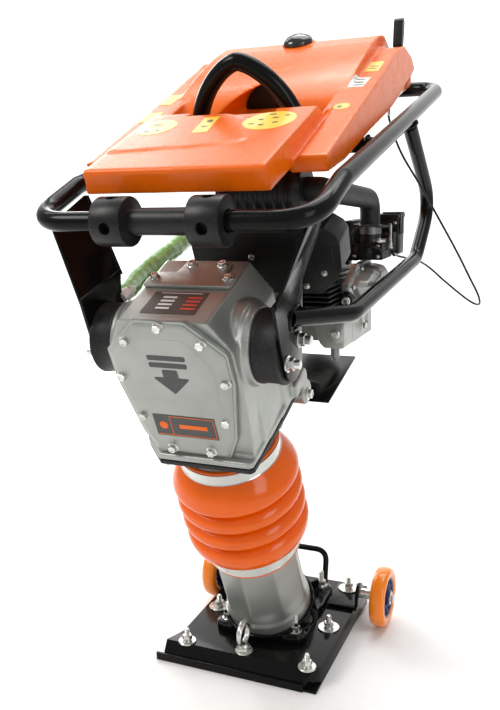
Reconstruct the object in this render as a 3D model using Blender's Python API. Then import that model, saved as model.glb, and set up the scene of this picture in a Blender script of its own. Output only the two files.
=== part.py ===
"""Jumping jack rammer: a leaning ram leg on a flat shoe, with engine, handle loop and fuel tank.

Metres, +Z up, front of the machine towards -Y, origin on the ground at the centre of the shoe.
Everything above the shoe is drawn in the leg frame: its z runs up the leg and its y to the rear.
"""
import math

import bmesh
import bpy
from mathutils import Matrix, Vector

LEAN = math.radians(23.8)       # forward lean of the leg
GAP = 0.0003                    # running gap between touching pieces

# shoe, in the world frame
SHOE_W = 0.283
SHOE_L = 0.326
SOLE_T = 0.005
SHOE_T = 0.035
LIP_H = 0.015
LIP_Y = -0.181
LIP_X = (-0.172, 0.118)         # the folded front lip sits off centre
WHEEL_R = 0.058
WHEEL_W = 0.030
WHEEL_X = {1: 0.193, -1: 0.1655}  # middle of each tyre: the axle sits towards the right
WHEEL_Y = 0.087
WHEEL_Z = 0.0602

# leg, in the leg frame
CYL_R = 0.0725
CYL_BORE = 0.062
CYL_Z0 = 0.074
CYL_Z1 = 0.425
GUIDE_R = 0.080
GUIDE_BORE = 0.0736
GUIDE_Z0 = 0.362
CASE_Z0 = 0.546
CASE_Z1 = 0.795
CASE_HALF_W = 0.100
CASE_FRONT = -0.095
CASE_MID = -0.058
CASE_REAR = 0.075
WALL = 0.010
GASKET_T = 0.0077
COVER_T = 0.012
MOUNT_Y = -0.022
MOUNT_Z = 0.712
MOUNT_R = 0.055
BOSS_X = 0.112
PLATE_X = 0.150

# crank drive, in the leg frame
GEAR_TEETH = 44
PINION_TEETH = 11
MODULE = 0.0025
CRANK_Z = 0.622
CRANK_THROW = 0.028
ROD_TOP_Z = 0.512               # wrist pin at bottom dead centre
YOKE_HALF = 0.0135              # keeps the ram's yoke in front of the crank gear
PINION_Z = CRANK_Z + MODULE * (GEAR_TEETH + PINION_TEETH) / 2

# handle, in the leg frame
TUBE_R = 0.0148
LOOP_X = 0.217
LOOP_Y0 = -0.021
LOOP_Z0 = 0.9095
LOOP_KNEE_Y = 0.110
LOOP_KNEE_Z = 0.907
LOOP_REAR_Y = 0.840
LOOP_REAR_Z = 0.783
BAIL_Y = 0.316
BAIL_X = 0.087
BAIL_SPRING_Z = 0.9135          # where the bail's straight legs end and its arch begins
BAIL_Z = 1.0185                 # middle of the bail's tube at its peak
BAIL_POINT = 1.29               # 1 is an ellipse, above 1 is a more pointed arch

# fuel tank, in the leg frame
DECK_X = 0.144
BARREL_X = 0.156
DECK_Z = 0.965
ARM_X1 = 0.196
CREST_Z = 0.961
CAP_Y = 0.610
CAP_R = 0.0285

PAINT = {}


def clear_scene():
    for old in list(bpy.data.objects):
        bpy.data.objects.remove(old, do_unlink=True)


def material(name, color, roughness, metallic=0.0):
    if name not in PAINT:
        mat = bpy.data.materials.new(name)
        mat.use_nodes = True
        shader = mat.node_tree.nodes["Principled BSDF"]
        shader.inputs["Base Color"].default_value = (*color, 1.0)
        shader.inputs["Roughness"].default_value = roughness
        shader.inputs["Metallic"].default_value = metallic
        PAINT[name] = mat
    return PAINT[name]


def black():
    return material("black_paint", (0.02, 0.02, 0.021), 0.35)


def steel():
    return material("zinc_steel", (0.62, 0.62, 0.60), 0.35, 1.0)


def cast():
    return material("cast_aluminium", (0.62, 0.62, 0.60), 0.45, 0.6)


def orange():
    return material("orange_plastic", (0.83, 0.16, 0.02), 0.35)


def rubber():
    return material("black_rubber", (0.03, 0.03, 0.03), 0.7)


def plastic():
    return material("black_plastic", (0.03, 0.03, 0.032), 0.5)


def frame_empty(name, lean):
    empty = bpy.data.objects.new(name, None)
    empty.rotation_euler = (lean, 0.0, 0.0)
    bpy.context.scene.collection.objects.link(empty)
    return empty


def place(name, bm, mat, parent, origin=(0.0, 0.0, 0.0), smooth=True):
    """Make an object from bm, drawn in the parent's frame, with its origin at the point given."""
    bmesh.ops.translate(bm, verts=bm.verts, vec=-Vector(origin))
    bmesh.ops.recalc_face_normals(bm, faces=bm.faces)
    mesh = bpy.data.meshes.new(name)
    bm.to_mesh(mesh)
    bm.free()
    obj = bpy.data.objects.new(name, mesh)
    obj.location = origin
    obj.parent = parent
    mesh.materials.append(mat)
    if smooth:
        mesh.shade_smooth()
        mesh.set_sharp_from_angle(angle=math.radians(35))
    bpy.context.scene.collection.objects.link(obj)
    return obj


def carve(obj, tools, operation="DIFFERENCE"):
    """Apply EXACT booleans to obj with the tool objects, which are then removed."""
    for tool in tools:
        mod = obj.modifiers.new("carve", "BOOLEAN")
        mod.object = tool
        mod.operation = operation
        mod.solver = "EXACT"
    bpy.context.view_layer.update()
    graph = bpy.context.evaluated_depsgraph_get()
    mesh = bpy.data.meshes.new_from_object(obj.evaluated_get(graph))
    obj.modifiers.clear()
    obj.data = mesh
    for tool in tools:
        bpy.data.objects.remove(tool, do_unlink=True)
    return obj


def prism_mesh(outline, axis, low, high):
    """Extrude a closed outline along x, y or z; the outline's points are the other two axes in order."""
    order = {"x": (0, 1, 2), "y": (1, 0, 2), "z": (2, 0, 1)}[axis]
    bm = bmesh.new()
    rings = []
    for level in (low, high):
        ring = []
        for a, b in outline:
            point = [0.0, 0.0, 0.0]
            point[order[0]] = level
            point[order[1]] = a
            point[order[2]] = b
            ring.append(bm.verts.new(point))
        rings.append(ring)
    bm.faces.new(rings[0])
    bm.faces.new(rings[1])
    count = len(outline)
    for i in range(count):
        j = (i + 1) % count
        bm.faces.new((rings[0][i], rings[0][j], rings[1][j], rings[1][i]))
    return bm


def prism(name, outline, axis, low, high, mat, parent, origin=(0.0, 0.0, 0.0), bevel=0.0):
    bm = prism_mesh(outline, axis, low, high)
    if bevel:
        bmesh.ops.recalc_face_normals(bm, faces=bm.faces)
        bmesh.ops.bevel(bm, geom=bm.edges[:], offset=bevel, segments=1, affect="EDGES", clamp_overlap=True)
    return place(name, bm, mat, parent, origin)


def box(name, low, high, mat, parent, origin=(0.0, 0.0, 0.0), bevel=0.0):
    outline = ((low[0], low[1]), (high[0], low[1]), (high[0], high[1]), (low[0], high[1]))
    return prism(name, outline, "z", low[2], high[2], mat, parent, origin, bevel)


def circle(radius, count, center=(0.0, 0.0), phase=0.0):
    step = 2 * math.pi / count
    return [(center[0] + radius * math.cos(phase + i * step), center[1] + radius * math.sin(phase + i * step))
            for i in range(count)]


def disc(name, axis, center, radius, low, high, mat, parent, origin=(0.0, 0.0, 0.0), count=32, bevel=0.0):
    bm = prism_mesh(circle(radius, count, center), axis, low, high)
    if bevel:
        rim = [e for e in bm.edges if len(e.link_faces) == 2 and any(len(f.verts) > 4 for f in e.link_faces)]
        bmesh.ops.recalc_face_normals(bm, faces=bm.faces)
        bmesh.ops.bevel(bm, geom=rim, offset=bevel, segments=1, affect="EDGES", clamp_overlap=True)
    return place(name, bm, mat, parent, origin)


def turned(name, profile, mat, parent, axis="z", center=(0.0, 0.0, 0.0), count=32, origin=None):
    """Turn a closed (radius, height) profile that stays off its axis into a ring about x, y or z."""
    bm = bmesh.new()
    rings = []
    for i in range(count):
        angle = 2 * math.pi * i / count
        across = (math.cos(angle), math.sin(angle))
        ring = []
        for radius, height in profile:
            u = radius * across[0]
            v = radius * across[1]
            local = {"x": (height, u, v), "y": (u, height, v), "z": (u, v, height)}[axis]
            ring.append(bm.verts.new(Vector(local) + Vector(center)))
        rings.append(ring)
    size = len(profile)
    for i in range(count):
        nxt = rings[(i + 1) % count]
        for j in range(size):
            k = (j + 1) % size
            bm.faces.new((rings[i][j], rings[i][k], nxt[k], nxt[j]))
    return place(name, bm, mat, parent, center if origin is None else origin)


def rounded_path(points, radius, steps=5):
    """Straight runs through the points with an arc of about the given radius at each inner corner."""
    path = [Vector(points[0])]
    for before, corner, after in zip(points, points[1:], points[2:]):
        corner = Vector(corner)
        back = (Vector(before) - corner)
        ahead = (Vector(after) - corner)
        turn = math.pi - back.angle(ahead)
        reach = min(radius * math.tan(turn / 2), 0.48 * back.length, 0.48 * ahead.length)
        start = corner + back.normalized() * reach
        end = corner + ahead.normalized() * reach
        for i in range(steps + 1):
            t = i / steps
            path.append(start.lerp(corner, t).lerp(corner.lerp(end, t), t))
    path.append(Vector(points[-1]))
    return path


def closed_path(points, radius, steps=6):
    """The same for a closed loop."""
    wrapped = [points[-1]] + list(points) + [points[0]]
    return rounded_path(wrapped, radius, steps)[1:-1]


def smooth_path(points, per_span=6):
    """Catmull-Rom curve through the points."""
    knots = [Vector(p) for p in points]
    knots = [2 * knots[0] - knots[1]] + knots + [2 * knots[-1] - knots[-2]]
    path = []
    for a, b, c, d in zip(knots, knots[1:], knots[2:], knots[3:]):
        for i in range(per_span):
            t = i / per_span
            path.append(0.5 * (2 * b + (c - a) * t + (2 * a - 5 * b + 4 * c - d) * t * t
                               + (3 * b - a - 3 * c + d) * t ** 3))
    path.append(knots[-2])
    return path


def tube(name, path, radius, mat, parent, origin=(0.0, 0.0, 0.0), cyclic=False, resolution=3):
    """A round bar or hose along the path, as a curve with filled ends."""
    curve = bpy.data.curves.new(name, "CURVE")
    curve.dimensions = "3D"
    curve.bevel_depth = radius
    curve.bevel_resolution = resolution
    curve.render_resolution_u = 0
    curve.use_fill_caps = True
    spline = curve.splines.new("POLY")
    spline.points.add(len(path) - 1)
    for point, place_at in zip(spline.points, path):
        point.co = (*(Vector(place_at) - Vector(origin)), 1.0)
    spline.use_cyclic_u = cyclic
    curve.materials.append(mat)
    obj = bpy.data.objects.new(name, curve)
    obj.location = origin
    obj.parent = parent
    bpy.context.scene.collection.objects.link(obj)
    return obj


def solid_tube(name, path, radius, mat, parent, origin=(0.0, 0.0, 0.0), resolution=3):
    """A tube turned into a mesh, for use with carve."""
    curve = tube(name + "_path", path, radius, mat, parent, origin, False, resolution)
    bpy.context.view_layer.update()
    graph = bpy.context.evaluated_depsgraph_get()
    mesh = bpy.data.meshes.new_from_object(curve.evaluated_get(graph))
    obj = bpy.data.objects.new(name, mesh)
    obj.location = origin
    obj.parent = parent
    bpy.context.scene.collection.objects.link(obj)
    bpy.data.objects.remove(curve, do_unlink=True)
    return obj


def gear_outline(teeth, center):
    """Straight-flanked spur teeth, two points at each tip and two at each root."""
    pitch_r = MODULE * teeth / 2
    outer = pitch_r + 0.8 * MODULE
    inner = pitch_r - 1.1 * MODULE
    points = []
    for i in range(teeth):
        start = 2 * math.pi * i / teeth
        step = 2 * math.pi / teeth
        for share, radius in ((-0.30, inner), (-0.12, outer), (0.12, outer), (0.30, inner)):
            angle = start + share * step
            points.append((center[0] + radius * math.sin(angle), center[1] + radius * math.cos(angle)))
    return points


# ---------------------------------------------------------------- shoe

def make_shoe(world):
    """Steel sole with a folded front lip, and the thick board bolted on it."""
    half_w = SHOE_W / 2
    front = -SHOE_L / 2
    rear = SHOE_L / 2
    toe = LIP_Y + SOLE_T
    sole = box("sole_plate", (-half_w, toe - 0.002, 0.0), (half_w, rear, SOLE_T), black(), world)
    lip = box("lip", (LIP_X[0], LIP_Y, 0.0), (LIP_X[1], toe, LIP_H), black(), world)
    carve(sole, [lip], "UNION")
    low = SOLE_T + GAP
    flare = -half_w - 0.016
    outline = ((-half_w, rear), (-half_w, -0.125), (flare, front), (flare, toe + GAP), (LIP_X[1], toe + GAP),
               (half_w - 0.010, front), (half_w, -0.145), (half_w, rear))
    board = prism("shoe_board", outline, "z", low, SHOE_T, black(), world, (0.0, 0.0, low), 0.0012)
    slope = ((toe - 0.1, SHOE_T + 0.1), (toe - 0.1, LIP_H), (toe, LIP_H), (front, SHOE_T + 0.0001),
             (front, SHOE_T + 0.1))
    carve(board, [prism("slope", slope, "x", -0.3, 0.3, black(), world)])


STUDS = ((0.068, -0.078), (0.060, 0.104))
EAR_R = 0.022


def make_flange(world, leg):
    """Black cast foot: a waisted plate with four ears on the board, and a cup that leans with the leg."""
    low = SHOE_T + GAP
    outline = []
    for corner, (x, y) in enumerate((STUDS[1], (-STUDS[1][0], STUDS[1][1]), (-STUDS[0][0], STUDS[0][1]),
                                     STUDS[0])):
        for step in range(4):
            angle = math.radians(90 * corner + 30 * step)
            outline.append((x + EAR_R * math.cos(angle), y + EAR_R * math.sin(angle)))
    plate = prism("foot_flange", outline, "z", low, low + 0.012, black(), world, (0.0, 0.0, low))
    waists = []
    for center, radius in (((0.150, 0.012), 0.068), ((-0.150, 0.012), 0.068), ((0.0, -0.150), 0.062)):
        waists.append(disc("waist", "z", center, radius, low - 0.01, low + 0.02, black(), world, count=24))
    carve(plate, waists)
    carve(plate, [disc("cup", "z", (0.0, 0.0), 0.087, 0.020, 0.090, black(), leg)], "UNION")
    below = box("below", (-0.2, -0.2, -0.1), (0.2, 0.2, low), black(), world)
    seat = disc("seat", "z", (0.0, 0.0), 0.0806, CYL_Z0 - GAP, 0.2, black(), leg)
    carve(plate, [below, seat])


EYE = (-0.006, -0.148, 0.071)


def make_eye_bolt(world):
    """Eye bolt at the front centre, with its ring across the machine."""
    low = SHOE_T + GAP
    foot = (EYE[0], EYE[1], low)
    ring = turned("eye_bolt", circle(0.0052, 8, (0.0198, 0.0)), steel(), world, "x", EYE, 20, foot)
    base = disc("nut", "z", foot[:2], 0.0135, low, low + 0.012, steel(), world, count=6)
    stem = disc("stem", "z", foot[:2], 0.0065, low + 0.006, EYE[2] - 0.016, steel(), world, count=12)
    carve(ring, [base, stem], "UNION")


def make_rail(world):
    low = SHOE_T + GAP
    path = rounded_path(((-0.056, 0.138, low - 0.006), (-0.052, 0.166, 0.100), (0.052, 0.166, 0.100),
                         (0.056, 0.138, low - 0.006)), 0.025)
    rail = solid_tube("foot_rail", path, 0.0060, black(), world, (0.0, 0.140, low), resolution=2)
    carve(rail, [box("below", (-0.2, 0.0, -0.1), (0.2, 0.3, low), black(), world)])


def make_wheel(world, side, name):
    """Bracket bolted on the board, axle stub, hub and tyre."""
    mid_x = WHEEL_X[side]
    inner_x = mid_x - WHEEL_W / 2
    low = SHOE_T + GAP
    arm_x = SHOE_W / 2 + GAP
    bracket = ((0.0985, low), (arm_x + 0.006, low), (arm_x + 0.006, low + 0.006), (0.085, low + 0.006))
    plate = prism("wheel_bracket_" + name, [(side * x, z) for x, z in bracket], "y", WHEEL_Y - 0.030,
                  WHEEL_Y + 0.058, black(), world, (side * arm_x, WHEEL_Y, low))
    drop = ((WHEEL_Y - 0.030, low + 0.006), (WHEEL_Y + 0.058, low + 0.006), (WHEEL_Y + 0.052, 0.010),
            (WHEEL_Y + 0.030, 0.010))
    web_low, web_high = sorted((side * arm_x, side * (arm_x + 0.006)))
    web = prism("web", drop, "x", web_low, web_high, black(), world)
    ear = [(WHEEL_Y + 0.019 * math.cos(math.radians(a)), WHEEL_Z + 0.019 * math.sin(math.radians(a)))
           for a in range(0, 181, 20)] + [(WHEEL_Y - 0.021, low), (WHEEL_Y + 0.021, low)]
    lug = prism("lug", ear, "x", web_low, web_high, black(), world)
    carve(plate, [web, lug], "UNION")
    hole = disc("hole", "x", (WHEEL_Y, WHEEL_Z), 0.0063, -0.3, 0.3, black(), world, count=20)
    carve(plate, [hole])

    axle_profile = circle(0.006, 20, (WHEEL_Y, WHEEL_Z))
    ends = sorted((side * (arm_x - 0.0), side * (mid_x + WHEEL_W / 2 + 0.004)))
    axle = prism("wheel_axle_" + name, axle_profile, "x", ends[0], ends[1], steel(), world,
                 (side * mid_x, WHEEL_Y, WHEEL_Z))
    head_ends = sorted((side * (mid_x + WHEEL_W / 2 + 0.003), side * (mid_x + WHEEL_W / 2 + 0.011)))
    head = disc("head", "x", (WHEEL_Y, WHEEL_Z), 0.0105, head_ends[0], head_ends[1], steel(), world, count=6)
    collar_ends = sorted((side * (arm_x + 0.0063), side * (inner_x - 0.0012)))
    collar = disc("collar", "x", (WHEEL_Y, WHEEL_Z), 0.010, collar_ends[0], collar_ends[1], steel(), world,
                  count=20)
    carve(axle, [head, collar], "UNION")

    hub_half = WHEEL_W / 2
    hub_profile = ((0.0063, -hub_half), (0.0155, -hub_half), (0.0165, -0.006), (0.034, -0.006),
                   (0.038, -0.012),
                   (0.0395, -0.012), (0.0395, 0.012), (0.038, 0.012), (0.034, 0.006), (0.0165, 0.006),
                   (0.0155, hub_half), (0.0063, hub_half))
    center = (side * mid_x, WHEEL_Y, WHEEL_Z)
    turned("wheel_hub_" + name, hub_profile, material("blue_plastic", (0.03, 0.05, 0.20), 0.4), world, "x",
           center, 28)
    tyre_profile = [(0.0398, -0.0125), (0.048, -hub_half)]
    for i in range(7):
        angle = math.pi * (i / 6 - 0.5)
        tyre_profile.append((WHEEL_R - 0.008 + 0.008 * math.cos(angle), hub_half * math.sin(angle) * 0.96))
    tyre_profile += [(0.048, hub_half), (0.0398, 0.0125)]
    turned("wheel_tyre_" + name, tyre_profile, material("orange_rubber", (0.80, 0.20, 0.02), 0.4), world, "x",
           center, 28)


# ---------------------------------------------------------------- leg

def make_leg(leg):
    seat_r = GUIDE_R + 0.0005
    cyl_profile = ((CYL_BORE, CYL_Z0 + 0.008), (CYL_BORE, CYL_Z1 - 0.012), (0.0145, CYL_Z1 - 0.012),
                   (0.0145, CYL_Z1), (CYL_R, CYL_Z1), (CYL_R, 0.283), (seat_r, 0.283), (seat_r, 0.252),
                   (CYL_R, 0.252), (CYL_R, 0.115), (0.080, 0.108), (0.080, CYL_Z0), (0.010, CYL_Z0),
                   (0.010, CYL_Z0 + 0.008))
    turned("spring_cylinder", cyl_profile, cast(), leg, count=LEG_SIDES, origin=(0.0, 0.0, CYL_Z0))
    collar = CASE_Z0 - GASKET_T - 2 * GAP
    guide_profile = ((GUIDE_BORE, GUIDE_Z0), (GUIDE_BORE, collar), (0.094, collar),
                     (0.094, collar - 0.010), (GUIDE_R, collar - 0.010), (GUIDE_R, GUIDE_Z0))
    turned("guide_cylinder", guide_profile, cast(), leg, count=LEG_SIDES, origin=(0.0, 0.0, GUIDE_Z0))
    make_spring("lower_spring", leg, CYL_Z0 + 0.0085, 0.2475, 6)
    make_spring("upper_spring", leg, 0.2735, CYL_Z1 - 0.0125, 6)
    make_bellows(leg)


def make_spring(name, leg, low, high, turns):
    wire = 0.0052
    per_turn = 8
    radius = 0.047
    rise = (high - low - 2 * wire) / (turns * per_turn)
    path = []
    for i in range(turns * per_turn + 1):
        angle = 2 * math.pi * i / per_turn
        path.append((radius * math.cos(angle), radius * math.sin(angle), low + wire + rise * i))
    tube(name, path, wire, steel(), leg, (0.0, 0.0, low), resolution=1)


LEG_SIDES = 32                  # facets round every turned piece of the leg
BELLOWS_Z0 = 0.252
BELLOWS_Z1 = 0.501
CUFF_LOW = 0.282
CUFF_HIGH = 0.473
FOLDS = 4
FOLD_PITCH = 0.0387
FIRST_CREST = 0.318
FOLD_OUT = 0.1095
FOLD_IN = 0.094
SKIN = 0.0035


def fold_profile(offset):
    """Outer (offset 0) or inner (offset SKIN) line of the bellows' folds, from bottom to top."""
    points = []
    for i in range(FOLDS):
        crest = FIRST_CREST + i * FOLD_PITCH
        points += [(FOLD_OUT - 0.006, crest - 0.012), (FOLD_OUT, crest), (FOLD_OUT - 0.006, crest + 0.012)]
        if i < FOLDS - 1:
            points.append((FOLD_IN, crest + FOLD_PITCH / 2))
    return [(radius - offset, z) for radius, z in points]


def make_bellows(leg):
    cuff_in = GUIDE_R + 0.0008
    cuff_out = cuff_in + SKIN
    outer = [(cuff_out, BELLOWS_Z0), (cuff_out, CUFF_LOW)] + fold_profile(0.0)
    outer += [(cuff_out, CUFF_HIGH), (cuff_out, BELLOWS_Z1)]
    inner = [(cuff_in, BELLOWS_Z0), (cuff_in, CUFF_LOW + 0.001)] + fold_profile(SKIN)
    inner += [(cuff_in, CUFF_HIGH - 0.001), (cuff_in, BELLOWS_Z1)]
    turned("bellows", outer + inner[::-1], orange(), leg, count=LEG_SIDES, origin=(0.0, 0.0, BELLOWS_Z0))
    ring_in = cuff_out + GAP
    for name, low in (("lower_clamp", 0.2565), ("upper_clamp", 0.4755)):
        band = ((ring_in, low), (ring_in, low + 0.022), (ring_in + 0.0016, low + 0.022),
                (ring_in + 0.0016, low))
        turned(name, band, steel(), leg, count=LEG_SIDES, origin=(0.0, 0.0, low))


# ---------------------------------------------------------------- crankcase and drive

def octagon(half_top, half_mid, half_low, heights):
    """Symmetric outline in x and z: top edge, shoulder, lower shoulder, bottom edge."""
    top, shoulder, knee, bottom = heights
    right = [(half_low, bottom), (half_mid - 0.017, knee), (half_mid, shoulder - 0.054), (half_mid, shoulder),
             (half_top, top)]
    return right + [(-x, z) for x, z in reversed(right)]


COVER_OUTLINE = octagon(0.040, 0.095, 0.059, (0.801, 0.750, 0.598, 0.557))


FLANGE = ((-0.061, -0.111), (0.090, -0.111), (0.096, -0.105), (0.102, 0.030), (0.102, 0.079), (-0.098, 0.079),
          (-0.098, -0.074))


def make_crankcase(leg):
    wide = CASE_HALF_W
    body = ((-0.092, CASE_Z0), (0.092, CASE_Z0), (wide, CASE_Z0 + 0.020), (wide, 0.746), (0.070, CASE_Z1),
            (-0.070, CASE_Z1), (-wide, 0.746), (-wide, CASE_Z0 + 0.020))
    case = prism("crankcase", body, "y", CASE_MID, CASE_REAR, cast(), leg, (0.0, 0.0, CASE_Z0))
    nose = ((-0.061, CASE_Z0), (0.094, CASE_Z0), (wide, 0.640), (wide, 0.746), (0.070, CASE_Z1),
            (-0.070, CASE_Z1),
            (-0.097, 0.746), (-0.097, 0.692), (-0.078, 0.598))
    carve(case, [prism("nose", nose, "y", CASE_FRONT, CASE_MID + 0.004, cast(), leg, bevel=0.003)], "UNION")
    carve(case, [prism("flange", FLANGE, "z", CASE_Z0, CASE_Z0 + 0.0105, cast(), leg)], "UNION")
    tools = []
    for side in (-1, 1):
        ends = sorted((side * 0.080, side * BOSS_X))
        tools.append(disc("boss", "x", (MOUNT_Y, MOUNT_Z), 0.061, ends[0], ends[1], cast(), leg, count=32))
        lug = circle(0.017, 16, (0.100, 0.561))
        ends = sorted((side * 0.080, side * 0.112))
        tools.append(prism("lug", lug, "x", ends[0], ends[1], cast(), leg))
        tools.append(box("arm", (ends[0], 0.060, 0.550), (ends[1], 0.100, 0.574), cast(), leg))
    tools.append(turned("rim", ((0.048, 0.070), (0.062, 0.070), (0.062, 0.082), (0.048, 0.082)), cast(), leg,
                        "y",
                        (0.0, 0.0, PINION_Z), 32))
    carve(case, tools, "UNION")
    room = ((-0.050, 0.556), (0.083, 0.556), (0.090, 0.640), (0.090, 0.742), (0.064, CASE_Z1 - WALL),
            (-0.064, CASE_Z1 - WALL), (-0.087, 0.742), (-0.087, 0.694), (-0.067, 0.600))
    cavity = prism("room", room, "y", CASE_FRONT + 0.008, CASE_REAR - 0.012, cast(), leg)
    window = [(x * 0.80, 0.680 + (z - 0.680) * 0.80) for x, z in COVER_OUTLINE]
    mouth = prism("mouth", window, "y", CASE_FRONT - 0.01, CASE_FRONT + 0.02, cast(), leg)
    throat = disc("throat", "z", (0.0, 0.0), 0.047, CASE_Z0 - 0.01, CASE_Z0 + 0.02, cast(), leg)
    shaft = disc("shaft", "y", (0.0, PINION_Z), 0.0125, 0.0, 0.2, cast(), leg, count=24)
    bearing = disc("seat", "y", (0.0, CRANK_Z), 0.0265, 0.040, CASE_REAR - 0.005, cast(), leg, count=32)
    carve(case, [cavity, mouth, throat, shaft, bearing])
    cover_y = CASE_FRONT - GAP
    cover = prism("crankcase_cover", COVER_OUTLINE, "y", cover_y - COVER_T, cover_y, cast(), leg,
                  (0.0, cover_y, 0.680), 0.002)
    inset = ((-0.067, 0.6655), (0.067, 0.6655), (0.071, 0.728), (0.035, 0.7735), (-0.035, 0.7735),
             (-0.071, 0.728))
    sunk = prism("sunk", inset, "y", cover_y - COVER_T - 0.01, cover_y - COVER_T + 0.0015, cast(), leg)
    carve(cover, [sunk])
    gasket_z = CASE_Z0 - GAP
    gasket = prism("bottom_gasket", FLANGE, "z", gasket_z - GASKET_T, gasket_z, rubber(), leg,
                   (0.0, 0.0, gasket_z))
    carve(gasket, [disc("bore", "z", (0.0, 0.0), GUIDE_BORE, gasket_z - 0.02, gasket_z + 0.02, rubber(),
                        leg)])
    top = ((-0.070, -0.008), (0.070, -0.008), (0.070, 0.029), (0.040, 0.031), (0.040, 0.062), (-0.040, 0.062),
           (-0.040, 0.031), (-0.070, 0.029))
    prism("top_plate", top, "z", CASE_Z1 + GAP, CASE_Z1 + 0.0055, cast(), leg, (0.0, 0.0, CASE_Z1), 0.001)


def make_drive(leg):
    """Crank gear and pinion about the leg frame's y axis, connecting rod in front, ram rod below."""
    gear = prism("crank_gear", gear_outline(GEAR_TEETH, (0.0, CRANK_Z)), "y", 0.014, 0.030, steel(), leg,
                 (0.0, 0.0, CRANK_Z))
    shaft = disc("journal", "y", (0.0, CRANK_Z), 0.0145, 0.028, CASE_REAR - 0.0055, steel(), leg, count=24)
    carve(gear, [shaft], "UNION")
    race = ((0.0150, 0.0405), (0.0262, 0.0405), (0.0262, 0.0565), (0.0150, 0.0565))
    turned("crank_bearing", race, steel(), leg, "y", (0.0, 0.0, CRANK_Z), 32)
    pinion = prism("pinion_shaft", gear_outline(PINION_TEETH, (0.0, PINION_Z)), "y", 0.012, 0.032, steel(),
                   leg,
                   (0.0, 0.0, PINION_Z))
    stem = disc("stem", "y", (0.0, PINION_Z), 0.0100, 0.008, 0.118, steel(), leg, count=20)
    carve(pinion, [stem], "UNION")
    drum = turned("clutch_drum", ((0.0103, 0.100), (0.0103, 0.106), (0.038, 0.106), (0.038, 0.130),
                                  (0.0415, 0.130),
                                  (0.0415, 0.100)), steel(), leg, "y", (0.0, 0.0, PINION_Z), 32)
    drum.location = (0.0, 0.0, PINION_Z)

    big_z = CRANK_Z - CRANK_THROW
    rod = disc("connecting_rod", "y", (0.0, ROD_TOP_Z), 0.013, -0.008, 0.008, steel(), leg,
               (0.0, 0.0, ROD_TOP_Z), 24)
    beam = box("beam", (-0.008, -0.006, ROD_TOP_Z), (0.008, 0.006, big_z), steel(), leg)
    eye = disc("eye", "y", (0.0, big_z), 0.018, -0.008, 0.008, steel(), leg, count=28)
    pin = disc("pin", "y", (0.0, big_z), 0.009, -0.012, 0.0134, steel(), leg, count=20)
    carve(rod, [beam, eye, pin], "UNION")
    carve(rod, [disc("wrist", "y", (0.0, ROD_TOP_Z), 0.0063, -0.02, 0.02, steel(), leg, count=20)])

    ram = disc("ram_rod", "z", (0.0, 0.0), 0.0135, 0.2713, ROD_TOP_Z - 0.018, steel(), leg,
               (0.0, 0.0, ROD_TOP_Z), 24)
    yoke = box("yoke", (-0.013, -YOKE_HALF, ROD_TOP_Z - 0.024), (0.013, YOKE_HALF, ROD_TOP_Z + 0.013),
               steel(), leg)
    carve(ram, [yoke], "UNION")
    slot = box("slot", (-0.05, -0.0085, ROD_TOP_Z - 0.0155), (0.05, 0.0085, ROD_TOP_Z + 0.05), steel(), leg)
    carve(ram, [slot])
    carve(ram, [disc("pin", "y", (0.0, ROD_TOP_Z), 0.0058, -YOKE_HALF, YOKE_HALF, steel(), leg, count=20)],
          "UNION")
    piston = ((0.0138, 0.2500), (0.0138, 0.2710), (0.0160, 0.2710), (0.0605, 0.2710), (0.0605, 0.2500))
    turned("spring_piston", piston, steel(), leg, count=LEG_SIDES, origin=(0.0, 0.0, 0.2500))


def make_mounts(leg):
    for side, name in ((-1, "left"), (1, "right")):
        ends = sorted((side * (BOSS_X + GAP), side * (PLATE_X - GAP)))
        disc("rubber_mount_" + name, "x", (MOUNT_Y, MOUNT_Z), MOUNT_R, ends[0], ends[1], rubber(), leg,
             (side * 0.131, MOUNT_Y, MOUNT_Z), 36, 0.002)


# ---------------------------------------------------------------- engine

HEAD_X = 0.1355                 # joint of the valve cover and the finned cylinder
CARB_X = 0.190


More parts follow.
